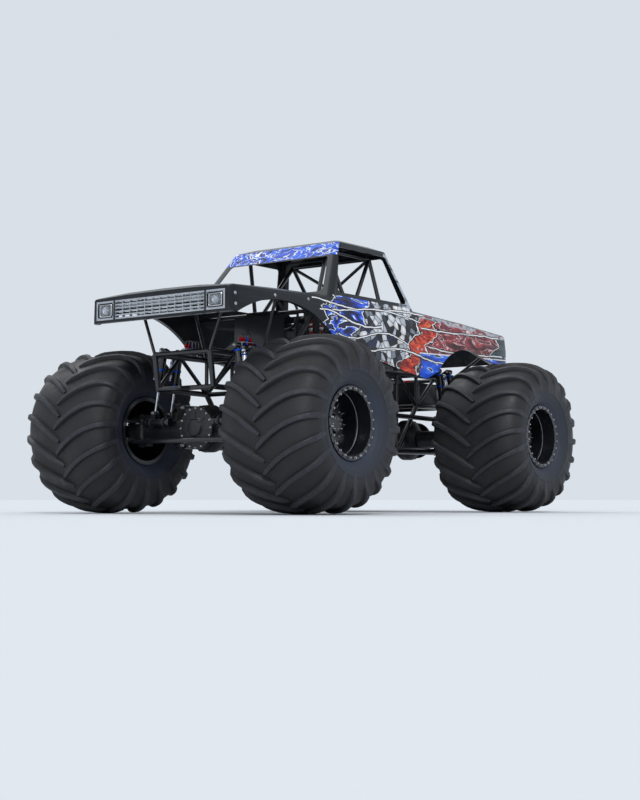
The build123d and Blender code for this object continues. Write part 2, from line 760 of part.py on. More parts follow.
def glass_cuts():
    """Openings of the windscreen, the rear window and the side windows."""
    side = ((-875.0, sill_z), (-590.0, header_z), (235.0, header_z), (395.0, sill_z))
    sides = window(side, Plane(origin=(0, 0, 0), x_dir=(0, 1, 0), z_dir=(1, 0, 0)), 2200.0)
    front_plane = Plane(origin=(0, -1000.0, 0), x_dir=(1, 0, 0), z_dir=(0, -1, 0))
    front = ((-790.0, sill_z + 10.0), (790.0, sill_z + 10.0), (650.0, header_z - visor_drop),
             (-650.0, header_z - visor_drop))
    rear = ((-790.0, sill_z), (790.0, sill_z), (640.0, header_z), (-640.0, header_z))
    rear_plane = Plane(origin=(0, 500.0, 0), x_dir=(1, 0, 0), z_dir=(0, -1, 0))
    return [sides, window(front, front_plane, 960.0), window(rear, rear_plane, 500.0)]


def slab(y0, y1):
    return across(y0, y1, 1000.0, 3000.0, -1200.0, 1200.0)


def hood_bulge():
    """The raised middle of the hood."""
    # columns: y, z
    profile = ((-2330.0, 2120.0), (-2330.0, 2160.0), (-2210.0, 2176.0 + hood_rise),
               (-1900.0, 2196.0 + hood_rise), (cowl_y - 40.0, 2212.0 + hood_rise), (cowl_y - 12.0, 2195.0),
               (cowl_y - 12.0, 2120.0))
    plane = Plane(origin=(0, 0, 0), x_dir=(0, 1, 0), z_dir=(1, 0, 0))
    return plate(profile, plane, 2 * hood_rise_half_width)


def body_shells():
    outer, inner, below = body_solid(0.0), body_solid(body_wall), below_edge()
    # The lower edge turns inwards in a narrow lip.
    lip = (outer & below.moved(at(0, 0, lip_thickness))) - body_solid(lip_width) - below
    hollow = (outer - inner - below).fuse(lip)
    clip = (hollow + (hood_bulge() - inner)) & slab(nose_y - 50.0, cowl_y)
    mouth = across(nose_y - 10.0, nose_y + body_wall + 10.0, fascia_low_z, fascia_high_z, -lamp_half_width,
                   lamp_half_width)
    clip -= mouth
    cab = (outer - below) & slab(cowl_y, bed_y)
    cab = cab + greenhouse(0.0, glass_low_z) - inner - greenhouse(body_wall, glass_low_z - 80.0)
    cab = cab.fuse(lip & slab(cowl_y, bed_y))
    for cut in glass_cuts():
        cab -= cut
    bed = hollow & slab(bed_y, tail_y + 50.0)
    reach = bed_half_width - rail_flange
    bed -= across(bed_y - 10.0, tail_y - rail_flange, 2000.0, 2300.0, -reach, reach)
    reach = bed_half_width - gate_margin
    bed -= across(tail_y - gate_recess, tail_y + 10.0, gate_low_z, gate_high_z, -reach, reach)
    return clip, cab, bed


def grille():
    y0, y1 = nose_y - 6.0, nose_y - 6.0 + grille_depth
    low, high, half = fascia_low_z, fascia_high_z, grille_half_width
    body = across(y0, y1, low, high, -half, half)
    reach = half - grille_rim
    body -= across(y0 - 1.0, y1 + 1.0, low + grille_rim, high - grille_rim, -reach, reach)
    pitch = (high - low - grille_rim) / (grille_bars + 1)
    for i in range(grille_bars):
        z = low + grille_rim / 2 + pitch * (i + 1)
        body += across(y0 + 6.0, y1, z - 6.0, z + 6.0, -half + 8.0, half - 8.0)
    pitch = 2 * half / (grille_ribs + 1)
    for i in range(grille_ribs):
        x = -half + pitch * (i + 1)
        body += across(y0 + 14.0, y1 - 4.0, low + 8.0, high - 8.0, x - 4.5, x + 4.5)
    return body


def headlamp():
    """The left headlamp: a square bezel with a lens set back in it."""
    y0, y1 = nose_y - 6.0, nose_y - 6.0 + grille_depth
    body = across(y0, y1, fascia_low_z, fascia_high_z, grille_half_width, lamp_half_width)
    body -= across(y0 - 1.0, y0 + 16.0, fascia_low_z + 18.0, fascia_high_z - 18.0, grille_half_width + 18.0,
                   lamp_half_width - 18.0)
    return body


def body_mounts(frame, shells):
    """Stays from the frame and the cage to the inside of the body."""
    stays = []
    # columns: start, end beyond the shell
    for start, end in (((rail_x, -2170.0, rail_top_z), (640.0, -2170.0, 2300.0)),
                       ((rail_x, -1400.0, rail_top_z), (600.0, -1400.0, 2300.0)),
                       ((640.0, -880.0, 2060.0), (1100.0, -880.0, 2060.0)),
                       ((640.0, 340.0, 2060.0), (1100.0, 340.0, 2060.0)),
                       ((rail_x, 1400.0, rail_top_z), (1100.0, 1400.0, 1960.0)),
                       ((rail_x, 2170.0, rail_top_z), (1100.0, 2170.0, 2010.0))):
        for a, b in ((start, end), (mirrored(start), mirrored(end))):
            stay = rod(a, b, 16.0)
            near = [piece for piece in frame + shells if boxes_meet(stay, piece)]
            for piece in near:
                stay = stay - piece
            inside = sorted(solids_of(stay), key=lambda s: abs(s.center().X) + (s.center().Z > 2400.0) * 9e9)
            stays.append(max(inside[:2], key=lambda s: s.volume) if len(inside) > 2 else inside[0])
    return stays


def engine():
    block = across(engine_front_y, engine_rear_y, crank_z - 90.0, crank_z + 150.0, -150.0, 150.0)
    pan = across(engine_front_y + 60.0, engine_rear_y - 40.0, crank_z - 205.0, crank_z - 90.0, -115.0, 115.0)
    block += pan
    # A bank is square to its own angle and ends at the deck.
    middle = at(0, (engine_front_y + engine_rear_y) / 2, crank_z)
    for side in (-1, 1):
        bank = Pos(0, 0, deck_height / 2) * Box(140.0, engine_rear_y - engine_front_y - 60.0, deck_height)
        block += bank.rotate(Axis.Y, side * bank_angle).moved(middle)
    for y in (400.0, 1000.0):
        block += across(y - 5.0, y + 5.0, crank_z - 130.0, crank_z + 120.0, -rail_x, rail_x)
    block += across(engine_rear_y - 5.0, 1000.0, crank_z - 60.0, crank_z + 60.0, -90.0, 90.0)
    return block


def heads():
    pieces = []
    length = engine_rear_y - engine_front_y - 70.0
    for side in (-1, 1):
        head = Pos(0, 0, deck_height + head_height / 2) * Box(150.0, length, head_height)
        top = deck_height + head_height
        cover = Pos(0, 0, top + cover_height / 2) * Box(116.0, length - 24.0, cover_height)
        both = (head + cover).rotate(Axis.Y, side * bank_angle)
        pieces.append(both.moved(at(0, (engine_front_y + engine_rear_y) / 2, crank_z)))
    return pieces


def supercharger():
    y = (engine_front_y + engine_rear_y) / 2
    top = crank_z + 330.0
    body = across(y - 210.0, y + 210.0, crank_z + 270.0, top, -62.0, 62.0)
    case = across(y - case_length / 2, y + case_length / 2, top, top + 150.0, -112.0, 112.0)
    body += case
    hat = Plane(origin=(0, y, top + 150.0), x_dir=(1, 0, 0), z_dir=(0, 0, 1))
    body += loft([hat * Rectangle(170.0, 330.0), hat.offset(60.0) * Rectangle(190.0, 330.0)], ruled=True)
    scoop = across(y - 190.0, y + 165.0, top + 210.0, top + 320.0, -180.0, 180.0)
    scoop -= across(y - 191.0, y + 60.0, top + 226.0, top + 304.0, -164.0, 164.0)
    body += scoop
    # Cooling ribs run across the rotor case.
    for i in range(9):
        rib = y - 200.0 + 50.0 * i
        body += across(rib - 5.0, rib + 5.0, top + 20.0, top + 138.0, -122.0, 122.0)
    return body + belt_drive()


def belt_drive():
    """The blower's toothed belt with its pulleys, at the engine's rear end."""
    face = engine_rear_y + belt_offset
    plane = Plane(origin=(0, face, 0), x_dir=(1, 0, 0), z_dir=(0, -1, 0))
    # columns: height of the centre, radius
    pulleys = ((crank_z + rotor_rise, top_pulley_radius), (crank_z, low_pulley_radius))

    def span(wall):
        top, low = [(z, radius + wall) for z, radius in pulleys]
        return ((top[1], top[0]), (low[1], low[0]), (-low[1], low[0]), (-top[1], top[0]))

    wraps = [plane * Pos(0, z, 0) * Cylinder(radius + belt_thickness, belt_width) for z, radius in pulleys]
    belt = weld(wraps + [plate(span(belt_thickness), plane, belt_width)])
    belt -= plate(span(0.0), plane, belt_width + 2.0)
    for z, radius in pulleys:
        belt += plane * Pos(0, z, 0) * Cylinder(radius + 1.0, belt_width)
        belt += plane * Pos(0, z, belt_width / 2 + 2.0) * Cylinder(radius + belt_thickness + 6.0, 4.0)
    case_end = (engine_front_y + engine_rear_y) / 2 + case_length / 2 - 5.0
    belt += rod((0, case_end, crank_z + rotor_rise), (0, face, crank_z + rotor_rise), snout_radius)
    return belt + rod((0, engine_rear_y, crank_z), (0, face, crank_z), crank_nose_radius)


def headers(engine_parts):
    pipes = []
    for i in range(4):
        y = engine_front_y + 95.0 + 128.0 * i
        outer = crank_z + 178.0
        for side in (-1, 1):
            pipe = bent_rod([(side * 235.0, y, outer + 12.0), (side * 303.0, y, outer - 50.0),
                             (side * 303.0, y, crank_z - 180.0)], header_radius, 40.0)
            for part in engine_parts:
                pipe = pipe - part
            pipes.append(max(solids_of(pipe), key=lambda s: s.volume))
    return pipes


def driveline():
    gearbox = Plane(origin=(0, 395.0, crank_z), x_dir=(1, 0, 0), z_dir=(0, -1, 0))
    length = 395.0 - gearbox_front_y
    case = loft([gearbox * Circle(185.0), gearbox.offset(190.0) * Circle(125.0)])
    case += extrude(gearbox.offset(190.0) * Circle(125.0), length - 190.0)
    transfer = across(transfer_front_y, gearbox_front_y, 742.0, crank_z + 110.0, -130.0, 130.0)
    shafts = []
    for start, end in (((0, transfer_front_y, axle_height), (0, -axle_y + pinion_reach, axle_height)),
                       ((0, gearbox_front_y, axle_height), (0, axle_y - pinion_reach, axle_height))):
        a, b = Vector(*start), Vector(*end)
        along = (b - a).normalized()
        shaft = rod(a, b, shaft_radius)
        for point, way in ((a, along), (b, -along)):
            shaft += rod(point, point + way * 28.0, shaft_radius + 34.0)
            shaft += rod(point + way * 28.0, point + way * 120.0, shaft_radius + 12.0)
        shafts.append(shaft)
    return case, transfer, shafts


def seat():
    base = across(-390.0, 120.0, 1592.0, 1700.0, -235.0, 235.0)
    base -= across(-400.0, 30.0, 1655.0, 1710.0, -175.0, 175.0)
    back = across(30.0, 130.0, 1640.0, 2330.0, -215.0, 215.0)
    rib_wing = across(-110.0, 100.0, 1690.0, 2120.0, 205.0, 235.0)
    head_wing = across(-60.0, 100.0, 2180.0, 2330.0, 145.0, 170.0)
    return base + back + left_and_right([rib_wing, head_wing])


def steering_wheel(cage):
    centre, dash = Vector(0, -560.0, 2100.0), Vector(0, -880.0, 2060.0)
    plane = Plane(origin=centre, z_dir=centre - dash)
    grip = Plane(origin=(165.0, 0, 0), x_dir=(1, 0, 0), z_dir=(0, 1, 0)) * RegularPolygon(14.0, 8)
    wheel_ring = plane * revolve(grip, Axis.Z, 360)
    spokes = plane * Cylinder(38.0, 16.0)
    for turn in (90, 210, 330):
        spokes += plane * Rot(0, 0, turn) * Pos(82.0, 0, 0) * Box(165.0, 34.0, 10.0)
    column = rod(dash, centre, 17.0) - cage
    column = max(solids_of(column), key=lambda s: s.volume)
    return wheel_ring + spokes + column


print("corners")
one_tyre = tyre()
one_wheel = wheel()
one_knuckle = knuckle()
one_rod = ram_rod()
housing = axle_housing()
one_tie = tie_rod()
# columns: name, mirrored to the right, turned to the rear
corners = (("front_left", False, False), ("front_right", True, False), ("rear_left", True, True),
           ("rear_right", False, True))


def to_corner(shape, flip, turn):
    placed = shape.mirror(Plane.YZ) if flip else shape
    placed = placed.moved(at(0, -axle_y, axle_height))
    return placed.rotate(Axis.Z, 180) if turn else placed


for name, flip, turn in corners:
    # The chevrons of all four tyres point the same way.
    tread = one_tyre if not turn else one_tyre.mirror(Plane.XZ)
    save("tyre_" + name, to_corner(tread.moved(at(wheel_x, 0, 0)), flip, turn))
    save("wheel_" + name, to_corner(one_wheel.moved(at(wheel_x, 0, 0)), flip, turn))
    save("knuckle_" + name, to_corner(one_knuckle, flip, turn))
    save("ram_rod_" + name, to_corner(one_rod, flip, turn))
for end, turn in (("front", False), ("rear", True)):
    save("axle_housing_" + end, to_corner(housing, False, turn))
    save("tie_rod_" + end, to_corner(one_tie, False, turn))
barrel = to_corner(ram_barrel(), False, False)
save("ram_barrels", front_and_rear(left_and_right([barrel])))
save("suspension_links", front_and_rear(links()))
bodies, shafts = shocks()
save("shock_bodies", front_and_rear(left_and_right(bodies)))
save("shock_shafts", front_and_rear(left_and_right(shafts)))

print("frame")
rails = frame_rails()
save("chassis_rails", rails)
tubes = rails + frame_bracing(rails)
save("chassis_bracing", tubes[len(rails):])
brackets = frame_brackets(tubes)
save("chassis_brackets", brackets)
frame = tubes + brackets
save("tow_lugs", front_and_rear([fitted(tow_lug(), frame)]))
cage = fitted(roll_cage(), frame)
save("roll_cage", cage)

print("body")
clip, cab, bed = body_shells()
save("front_clip", clip)
save("cab_shell", cab)
save("bed_shell", bed)
save("grille", grille())
lamp = headlamp()
save("headlamps", left_and_right([lamp]))
save("body_mounts", body_mounts(frame + [cage], [clip, cab, bed]))

print("inside")
floor = across(-1000.0, 160.0, rail_top_z + 20.0, rail_top_z + 32.0, -350.0, 350.0)
firewall = across(-1000.0, -992.0, rail_top_z + 20.0, 2030.0, -330.0, 330.0)
save("floor_pan", fitted(floor + firewall, frame + [cage]))
skid = across(400.0, 1000.0, belly_z - rail_radius - 6.0, belly_z - rail_radius + 6.0, -350.0, 350.0)
for i in range(3):
    y = 500.0 + 200.0 * i
    skid -= across(y - 70.0, y + 70.0, 600.0, 700.0, -250.0, 250.0)
save("belly_skid", fitted(skid, frame))
save("seat", seat())
save("steering_wheel", steering_wheel(cage))

print("engine")
block = fitted(engine(), frame)
save("engine_block", block)
head_pair = heads()
save("cylinder_heads", head_pair)
blower = supercharger()
for head in head_pair:
    blower = blower - head
save("supercharger", blower - block)
save("exhaust_headers", headers(head_pair + [block]))
gearbox, transfer, drive_shafts = driveline()
save("gearbox", gearbox)
save("transfer_case", transfer)
save("driveshafts", drive_shafts)
radiator = across(1370.0, 1430.0, rail_top_z + 20.0, 1985.0, -330.0, 330.0)
save("radiator", fitted(radiator, frame))
cell = across(1440.0, 2080.0, 1235.0, 1490.0, -290.0, 290.0)
save("fuel_cell", fitted(cell, frame))
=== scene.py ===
# Looks of a stadium monster truck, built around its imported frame.
import json
from functools import partial
from math import cos, hypot, pi, radians, sin, tau

import bmesh
import bpy
from mathutils import Matrix, Vector
from mathutils.bvhtree import BVHTree


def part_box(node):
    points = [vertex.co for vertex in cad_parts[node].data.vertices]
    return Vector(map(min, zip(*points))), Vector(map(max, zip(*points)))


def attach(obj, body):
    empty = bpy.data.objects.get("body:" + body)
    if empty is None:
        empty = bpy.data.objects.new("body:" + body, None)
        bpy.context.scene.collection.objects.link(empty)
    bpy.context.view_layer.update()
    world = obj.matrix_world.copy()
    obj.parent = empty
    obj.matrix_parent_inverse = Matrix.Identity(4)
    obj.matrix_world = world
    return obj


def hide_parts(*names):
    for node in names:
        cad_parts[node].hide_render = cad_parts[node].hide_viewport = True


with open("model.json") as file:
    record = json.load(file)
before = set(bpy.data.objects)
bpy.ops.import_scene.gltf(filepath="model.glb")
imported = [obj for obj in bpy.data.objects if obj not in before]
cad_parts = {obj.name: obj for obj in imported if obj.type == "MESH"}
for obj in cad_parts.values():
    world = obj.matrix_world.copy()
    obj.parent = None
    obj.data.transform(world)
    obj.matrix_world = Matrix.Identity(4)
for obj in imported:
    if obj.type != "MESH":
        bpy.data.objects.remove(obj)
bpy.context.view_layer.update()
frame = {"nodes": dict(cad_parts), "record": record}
nodes = frame["nodes"]
bodyOf = {node: body for body, members in frame["record"]["behaviour"]["bodies"].items() for node in members}
corners = {"front_left": (1, -1), "front_right": (-1, -1), "rear_left": (1, 1), "rear_right": (-1, 1)}
# columns: side, end
quarters = ((1, 1), (1, -1), (-1, 1), (-1, -1))


def middle(node):
    low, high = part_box(node)
    return (low + high) / 2


hubPlace = middle("tyre_front_left")
axleY = -hubPlace.y
axleZ = hubPlace.z
print("frame loaded", len(nodes), "nodes")


# View: on the floor, off the truck's left front corner, through a long lens
view = {"azimuth": 37.0, "height": 0.14, "distance": 16.0, "aim": (0.0, 0.05, 1.22), "lens": 83.0}


def placeCamera():
    a = radians(view["azimuth"])
    aim = Vector(view["aim"])
    data = bpy.data.cameras.new("floorCamera")
    data.sensor_fit = "HORIZONTAL"
    data.lens = view["lens"]
    data.clip_end = stage["floorSize"]
    camera = bpy.data.objects.new("floorCamera", data)
    camera.location = Vector((sin(a), -cos(a), 0)) * view["distance"] + Vector((aim.x, aim.y, view["height"]))
    camera.rotation_euler = (aim - camera.location).to_track_quat("-Z", "Y").to_euler()
    bpy.context.collection.objects.link(camera)
    bpy.context.scene.camera = camera


def colour(code):
    # sRGB hex to the linear values that the nodes take
    parts = [int(code[i:i + 2], 16) / 255 for i in (1, 3, 5)]
    return [c / 12.92 if c <= 0.04045 else ((c + 0.055) / 1.055) ** 2.4 for c in parts] + [1.0]


def deeper(code, share):
    # the same colour with a share of its light
    return [c * share for c in colour(code)[:3]] + [1.0]


def addNode(tree, kind, sockets=None, output=0, **settings):
    # sockets: for each input a link, a number, a vector or an sRGB hex code. Gives one output, or all for None
    node = tree.nodes.new("ShaderNode" + kind)
    for key, value in settings.items():
        setattr(node, key, value)
    for key, value in (sockets or {}).items():
        if isinstance(value, bpy.types.NodeSocket):
            tree.links.new(value, node.inputs[key])
        else:
            node.inputs[key].default_value = colour(value) if isinstance(value, str) else value
    return node.outputs if output is None else node.outputs[output]


def startMaterial(name, **sockets):
    # Every finish begins as a Principled shader with its constant values on its own sockets
    material = bpy.data.materials.new(name)
    material.use_nodes = True
    tree = material.node_tree
    shader = tree.nodes["Principled BSDF"]
    for key, value in sockets.items():
        shader.inputs[key.replace("_", " ")].default_value = value
    place = addNode(tree, "TexCoord", output="Object")
    return material, partial(addNode, tree), tree.links.new, shader, place


def fillRamp(tone, stops, interpolation="LINEAR"):
    ramp = tone.node.color_ramp
    ramp.interpolation = interpolation
    while len(ramp.elements) < len(stops):
        ramp.elements.new(0.5)
    for element, (position, value) in zip(ramp.elements, stops):
        element.position = position
        element.color = colour(value) if isinstance(value, str) else (value, value, value, 1)
    return tone


# Stage: a pale floor and a pale surround that metal and glass see too
stage = {"floorSize": 900.0, "floorPaint": "#d6dde5", "surround": "#d9e0e8", "skyLight": 0.62}


def makeStage():
    bm = bmesh.new()
    bmesh.ops.create_grid(bm, x_segments=1, y_segments=1, size=stage["floorSize"] / 2)
    mesh = bpy.data.meshes.new("studioFloor")
    bm.to_mesh(mesh)
    bm.free()
    floor = bpy.data.objects.new("studioFloor", mesh)
    bpy.context.collection.objects.link(floor)
    material, _, _, shader, _ = startMaterial("matteFloorPaint", Roughness=1.0)
    shader.inputs["Base Color"].default_value = colour(stage["floorPaint"])
    shader.inputs["Specular IOR Level"].default_value = 0.0
    floor.data.materials.append(material)

    world = bpy.data.worlds.new("studioWorld")
    bpy.context.scene.world = world
    world.use_nodes = True
    tree = world.node_tree
    node = partial(addNode, tree)
    rays = node("LightPath", output=None)
    seen = node("Math", {0: rays["Is Camera Ray"], 1: rays["Is Glossy Ray"]}, operation="MAXIMUM")
    seen = node("Math", {0: seen, 1: rays["Is Transmission Ray"]}, operation="MAXIMUM")
    lit = node("Background", {"Color": (1, 1, 1, 1), "Strength": stage["skyLight"]})
    shown = node("Background", {"Color": stage["surround"], "Strength": 1.0})
    mixed = node("MixShader", {0: seen, 1: lit, 2: shown})
    tree.links.new(mixed, tree.nodes["World Output"].inputs["Surface"])


# Lamps: name, way to the lamp, strength, softness in degrees. Their light is as even as a large room's.
lamps = (("keyLamp", (0.62, -0.55, 0.75), 1.35, 22.0), ("backLamp", (-0.9, 0.25, 1.15), 0.75, 45.0),
         ("lowFill", (0.35, -1.0, 0.12), 0.42, 50.0))


def placeLamps():
    for name, spot, strength, softness in lamps:
        data = bpy.data.lights.new(name, "SUN")
        data.energy = strength
        data.angle = radians(softness)
        lamp = bpy.data.objects.new(name, data)
        lamp.rotation_euler = (-Vector(spot)).to_track_quat("-Z", "Y").to_euler()
        bpy.context.collection.objects.link(lamp)


placeCamera()
makeStage()
placeLamps()
bpy.context.scene.view_settings.view_transform = "Standard"
print("stage set")


# Moulded tyre rubber: near black with a dull blue-grey skin, brown arena dust in the hollows, scuffed lug tops
def mouldedTyreRubber():
    material, node, link, shader, place = startMaterial("mouldedTyreRubber", Roughness=0.62, IOR=1.52)
    worn = node("Attribute", attribute_name="lugTop", output="Fac")
    patches = node("TexNoise", {"Vector": place, "Scale": 3.1, "Detail": 7.0, "Roughness": 0.68})
    grit = node("TexNoise", {"Vector": place, "Scale": 140.0, "Detail": 4.0})
    scuffs = node("TexNoise", {"Vector": place, "Scale": 26.0, "Detail": 5.0, "Roughness": 0.7})
    topTone = fillRamp(node("ValToRGB", {0: scuffs}), ((0.35, "#15171e"), (0.68, "#272a33")))
    base = node("Mix", {0: worn, 6: "#0a0c12", 7: topTone}, data_type="RGBA", output=2)
    hollow = node("Math", {0: worn, 1: -0.75, 2: 1.0}, operation="MULTIPLY_ADD")
    dust = fillRamp(node("ValToRGB", {0: patches}), ((0.48, 0.0), (0.78, 0.42)))
    dust = node("Math", {0: dust, 1: hollow}, operation="MULTIPLY")
    base = node("Mix", {0: dust, 6: base, 7: "#38322e"}, data_type="RGBA", output=2)
    # painted highlight: the sidewall round the bead is painted a paler, bluish ring, broken into patches, as if
    # its dish caught the sky
    axis = node("SeparateXYZ", {0: place}, output=None)
    ahead = node("Math", {0: axis["Y"]}, operation="ABSOLUTE")
    spoke = node("CombineXYZ", {0: ahead, 1: axis["Z"], 2: 0.0})
    reach = node("VectorMath", {0: spoke, 1: (axleY, axleZ, 0.0)}, operation="DISTANCE", output="Value")
    bead = node("MapRange", {0: reach, 1: 0.37, 2: 0.56, 3: 1.0, 4: 0.0})
    sheenPatches = fillRamp(node("ValToRGB", {0: patches}), ((0.35, 0.35), (0.65, 0.95)))
    bead = node("Math", {0: bead, 1: sheenPatches}, operation="MULTIPLY")
    base = node("Mix", {0: bead, 6: base, 7: "#273145"}, data_type="RGBA", output=2)
    link(base, shader.inputs["Base Color"])
    rough = node("MapRange", {0: patches, 1: 0.35, 2: 0.7, 3: 0.46, 4: 0.82})
    link(rough, shader.inputs["Roughness"])
    # skin of the mould, about 7 mm from bump to bump so that it shows
    bump = node("Bump", {"Height": grit, "Strength": 0.4, "Distance": 0.0016})
    link(bump, shader.inputs["Normal"])
    return material


# Powder-coated steel tube: deep black and glossy, with a faint orange peel and dust lying on what faces up
def powderCoat(name, code, roughness=0.28, peel=0.0006):
    material, node, link, shader, place = startMaterial(name, Roughness=roughness, IOR=1.5, Coat_Weight=0.4,
                                                        Coat_Roughness=0.1)
    shade = node("TexNoise", {"Vector": place, "Scale": 2.4, "Detail": 6.0})
    dark = deeper(code, 0.55)
    base = node("Mix", {0: shade, 6: dark, 7: code}, data_type="RGBA", output=2)
    normal = node("NewGeometry", output="Normal")
    up = node("SeparateXYZ", {0: normal}, output="Z")
    specks = node("TexNoise", {"Vector": place, "Scale": 11.0, "Detail": 8.0, "Roughness": 0.75})
    lying = node("Math", {0: up, 1: specks, 2: -0.42}, operation="MULTIPLY_ADD", use_clamp=True)
    base = node("Mix", {0: lying, 6: base, 7: "#5d554d"}, data_type="RGBA", output=2)
    link(base, shader.inputs["Base Color"])
    waves = node("TexNoise", {"Vector": place, "Scale": 130.0, "Detail": 2.0})
    link(node("Bump", {"Height": waves, "Strength": 0.25, "Distance": peel}), shader.inputs["Normal"])
    return material


# Painted casting: satin black over a sand-cast skin, with oily patches and dust on top faces
def paintedCasting(name, code):
    material, node, link, shader, place = startMaterial(name, Roughness=0.45, IOR=1.5)
    skin = node("TexNoise", {"Vector": place, "Scale": 240.0, "Detail": 3.0})
    dirt = node("TexNoise", {"Vector": place, "Scale": 6.0, "Detail": 8.0, "Roughness": 0.7})
    normal = node("NewGeometry", output="Normal")
    up = node("SeparateXYZ", {0: normal}, output="Z")
    lying = node("Math", {0: up, 1: dirt, 2: -0.3}, operation="MULTIPLY_ADD", use_clamp=True)
    base = node("Mix", {0: lying, 6: code, 7: "#6b6058"}, data_type="RGBA", output=2)
    link(base, shader.inputs["Base Color"])
    rough = node("MapRange", {0: dirt, 1: 0.3, 2: 0.7, 3: 0.34, 4: 0.62})
    link(rough, shader.inputs["Roughness"])
    link(node("Bump", {"Height": skin, "Strength": 0.35, "Distance": 0.0011}), shader.inputs["Normal"])
    return material


# Bare metal: chrome plate, cast or sheet aluminium, with smears and fine scratches in its gloss
def bareMetal(name, code, roughness, grain=0.0, scratch=220.0):
    material, node, link, shader, place = startMaterial(name, Metallic=1.0, Roughness=roughness)
    smears = node("TexNoise", {"Vector": place, "Scale": 14.0, "Detail": 6.0, "Roughness": 0.6})
    dark = deeper(code, 0.72)
    tone = fillRamp(node("ValToRGB", {0: smears}), ((0.3, 0.0), (0.62, 1.0)))
    link(node("Mix", {0: tone, 6: dark, 7: code}, data_type="RGBA", output=2), shader.inputs["Base Color"])
    rough = node("MapRange", {0: smears, 1: 0.3, 2: 0.7, 3: roughness * 0.75, 4: roughness * 1.4 + 0.02})
    link(rough, shader.inputs["Roughness"])
    if grain:
        skin = node("TexNoise", {"Vector": place, "Scale": scratch, "Detail": 3.0})
        link(node("Bump", {"Height": skin, "Strength": 0.35, "Distance": grain}), shader.inputs["Normal"])
    return material


# Header pipe: stainless steel tinted by heat, from blue and violet at the ports to straw and grey lower down
def heatTintedSteel():
    material, node, link, shader, place = startMaterial("heatTintedSteel", Metallic=1.0, Roughness=0.26)
    height = node("SeparateXYZ", {0: place}, output="Z")
    drift = node("TexNoise", {"Vector": place, "Scale": 9.0, "Detail": 4.0})
    level = node("MapRange", {0: height, 1: 0.95, 2: 1.36})
    level = node("Math", {0: drift, 1: 0.35, 2: level}, operation="MULTIPLY_ADD")
    tone = fillRamp(node("ValToRGB", {0: level}),
                    ((0.2, "#8f8a84"), (0.5, "#b59a6c"), (0.72, "#8a6a74"), (0.9, "#54608e"), (1.0, "#7d8ea0")))
    link(tone, shader.inputs["Base Color"])
    return material


# Sheet plate, once painted tan: scraped along its length to bare metal by the ground
def scrapedSkidPaint():
    material, node, link, shader, place = startMaterial("scrapedSkidPaint", Roughness=0.55)
    drawn = node("Mapping", {"Vector": place, "Scale": (42.0, 2.5, 42.0)})
    scrapes = node("TexNoise", {"Vector": drawn, "Scale": 1.0, "Detail": 6.0, "Roughness": 0.7})
    bare = fillRamp(node("ValToRGB", {0: scrapes}), ((0.56, 0.0), (0.64, 1.0)))
    patches = node("TexNoise", {"Vector": place, "Scale": 7.0, "Detail": 6.0})
    paint = fillRamp(node("ValToRGB", {0: patches}), ((0.35, "#5f4a34"), (0.6, "#8a6f4e")))
    link(node("Mix", {0: bare, 6: paint, 7: "#a39b90"}, data_type="RGBA", output=2),
         shader.inputs["Base Color"])
    link(node("Math", {0: bare, 1: 0.85}, operation="MULTIPLY"), shader.inputs["Metallic"])
    link(node("Bump", {"Height": scrapes, "Strength": 0.4, "Distance": 0.001}), shader.inputs["Normal"])
    return material


# Woven webbing or seat cloth: dull fibre with sheen, ribs 4 mm apart, coarser than the thread so that they show
def wovenCloth(name, code, ribs=250.0, axes="DIAGONAL"):
    material, node, link, shader, place = startMaterial(name, Roughness=0.85, Sheen_Weight=0.3,
                                                        Sheen_Roughness=0.5)
    weave = node("TexWave", {"Vector": place, "Scale": ribs, "Distortion": 1.0}, wave_type="BANDS",
                 bands_direction=axes, output="Fac")
    fade = node("TexNoise", {"Vector": place, "Scale": 18.0, "Detail": 5.0})
    mixed = node("Math", {0: weave, 1: 0.35, 2: fade}, operation="MULTIPLY_ADD")
    dark = deeper(code, 0.5)
    level = node("MapRange", {0: mixed, 1: 0.3, 2: 1.0})
    link(node("Mix", {0: level, 6: dark, 7: code}, data_type="RGBA", output=2), shader.inputs["Base Color"])
    link(node("Bump", {"Height": weave, "Strength": 0.5, "Distance": 0.0006}), shader.inputs["Normal"])
    return material


# Moulded plastic or rubber part: fine grain and a soft gloss
def mouldedPlastic(name, code, roughness=0.5):
    material, node, link, shader, place = startMaterial(name, Roughness=roughness, IOR=1.46)
    tone = node("TexNoise", {"Vector": place, "Scale": 9.0, "Detail": 5.0})
    dark = deeper(code, 0.7)
    link(node("Mix", {0: tone, 6: dark, 7: code}, data_type="RGBA", output=2), shader.inputs["Base Color"])
    grain = node("TexNoise", {"Vector": place, "Scale": 420.0, "Detail": 2.0})
    link(node("Bump", {"Height": grain, "Strength": 0.2, "Distance": 0.0004}), shader.inputs["Normal"])
    return material


# Pressed lamp glass: clear, with upright flutes 9 mm apart
def pressedGlass():
    material, node, link, shader, place = startMaterial("pressedLampGlass", Roughness=0.03, IOR=1.5,
                                                        Transmission_Weight=0.92)
    shader.inputs["Base Color"].default_value = colour("#eef3f8")
    flutes = node("TexWave", {"Vector": place, "Scale": 17.5}, wave_type="BANDS",
                  bands_direction="X", output="Fac")
    link(node("Bump", {"Height": flutes, "Strength": 0.5, "Distance": 0.002}), shader.inputs["Normal"])
    return material


# Gelcoat over glass fibre: blue-black with clear lacquer. The sides carry a loose collage of airbrushed flames,
# splinters and slashes, set out by height and length alone, the same on both sides.
livery = {"black": "#0b131a", "white": "#e9edf3", "lean": -0.75, "zig": 0.12, "splinter": 0.082, "railFrom": 2.03,
          "bedFrom": 0.52, "stripTop": 1.70, "rise": 0.045, "beltLine": 2.185}
# columns: where the zone starts along the side, name of its art
liveryZones = ((-1.22, "fender"), (-0.58, "door"), (0.42, "burst"), (0.78, "bed"), (2.18, "tail"))
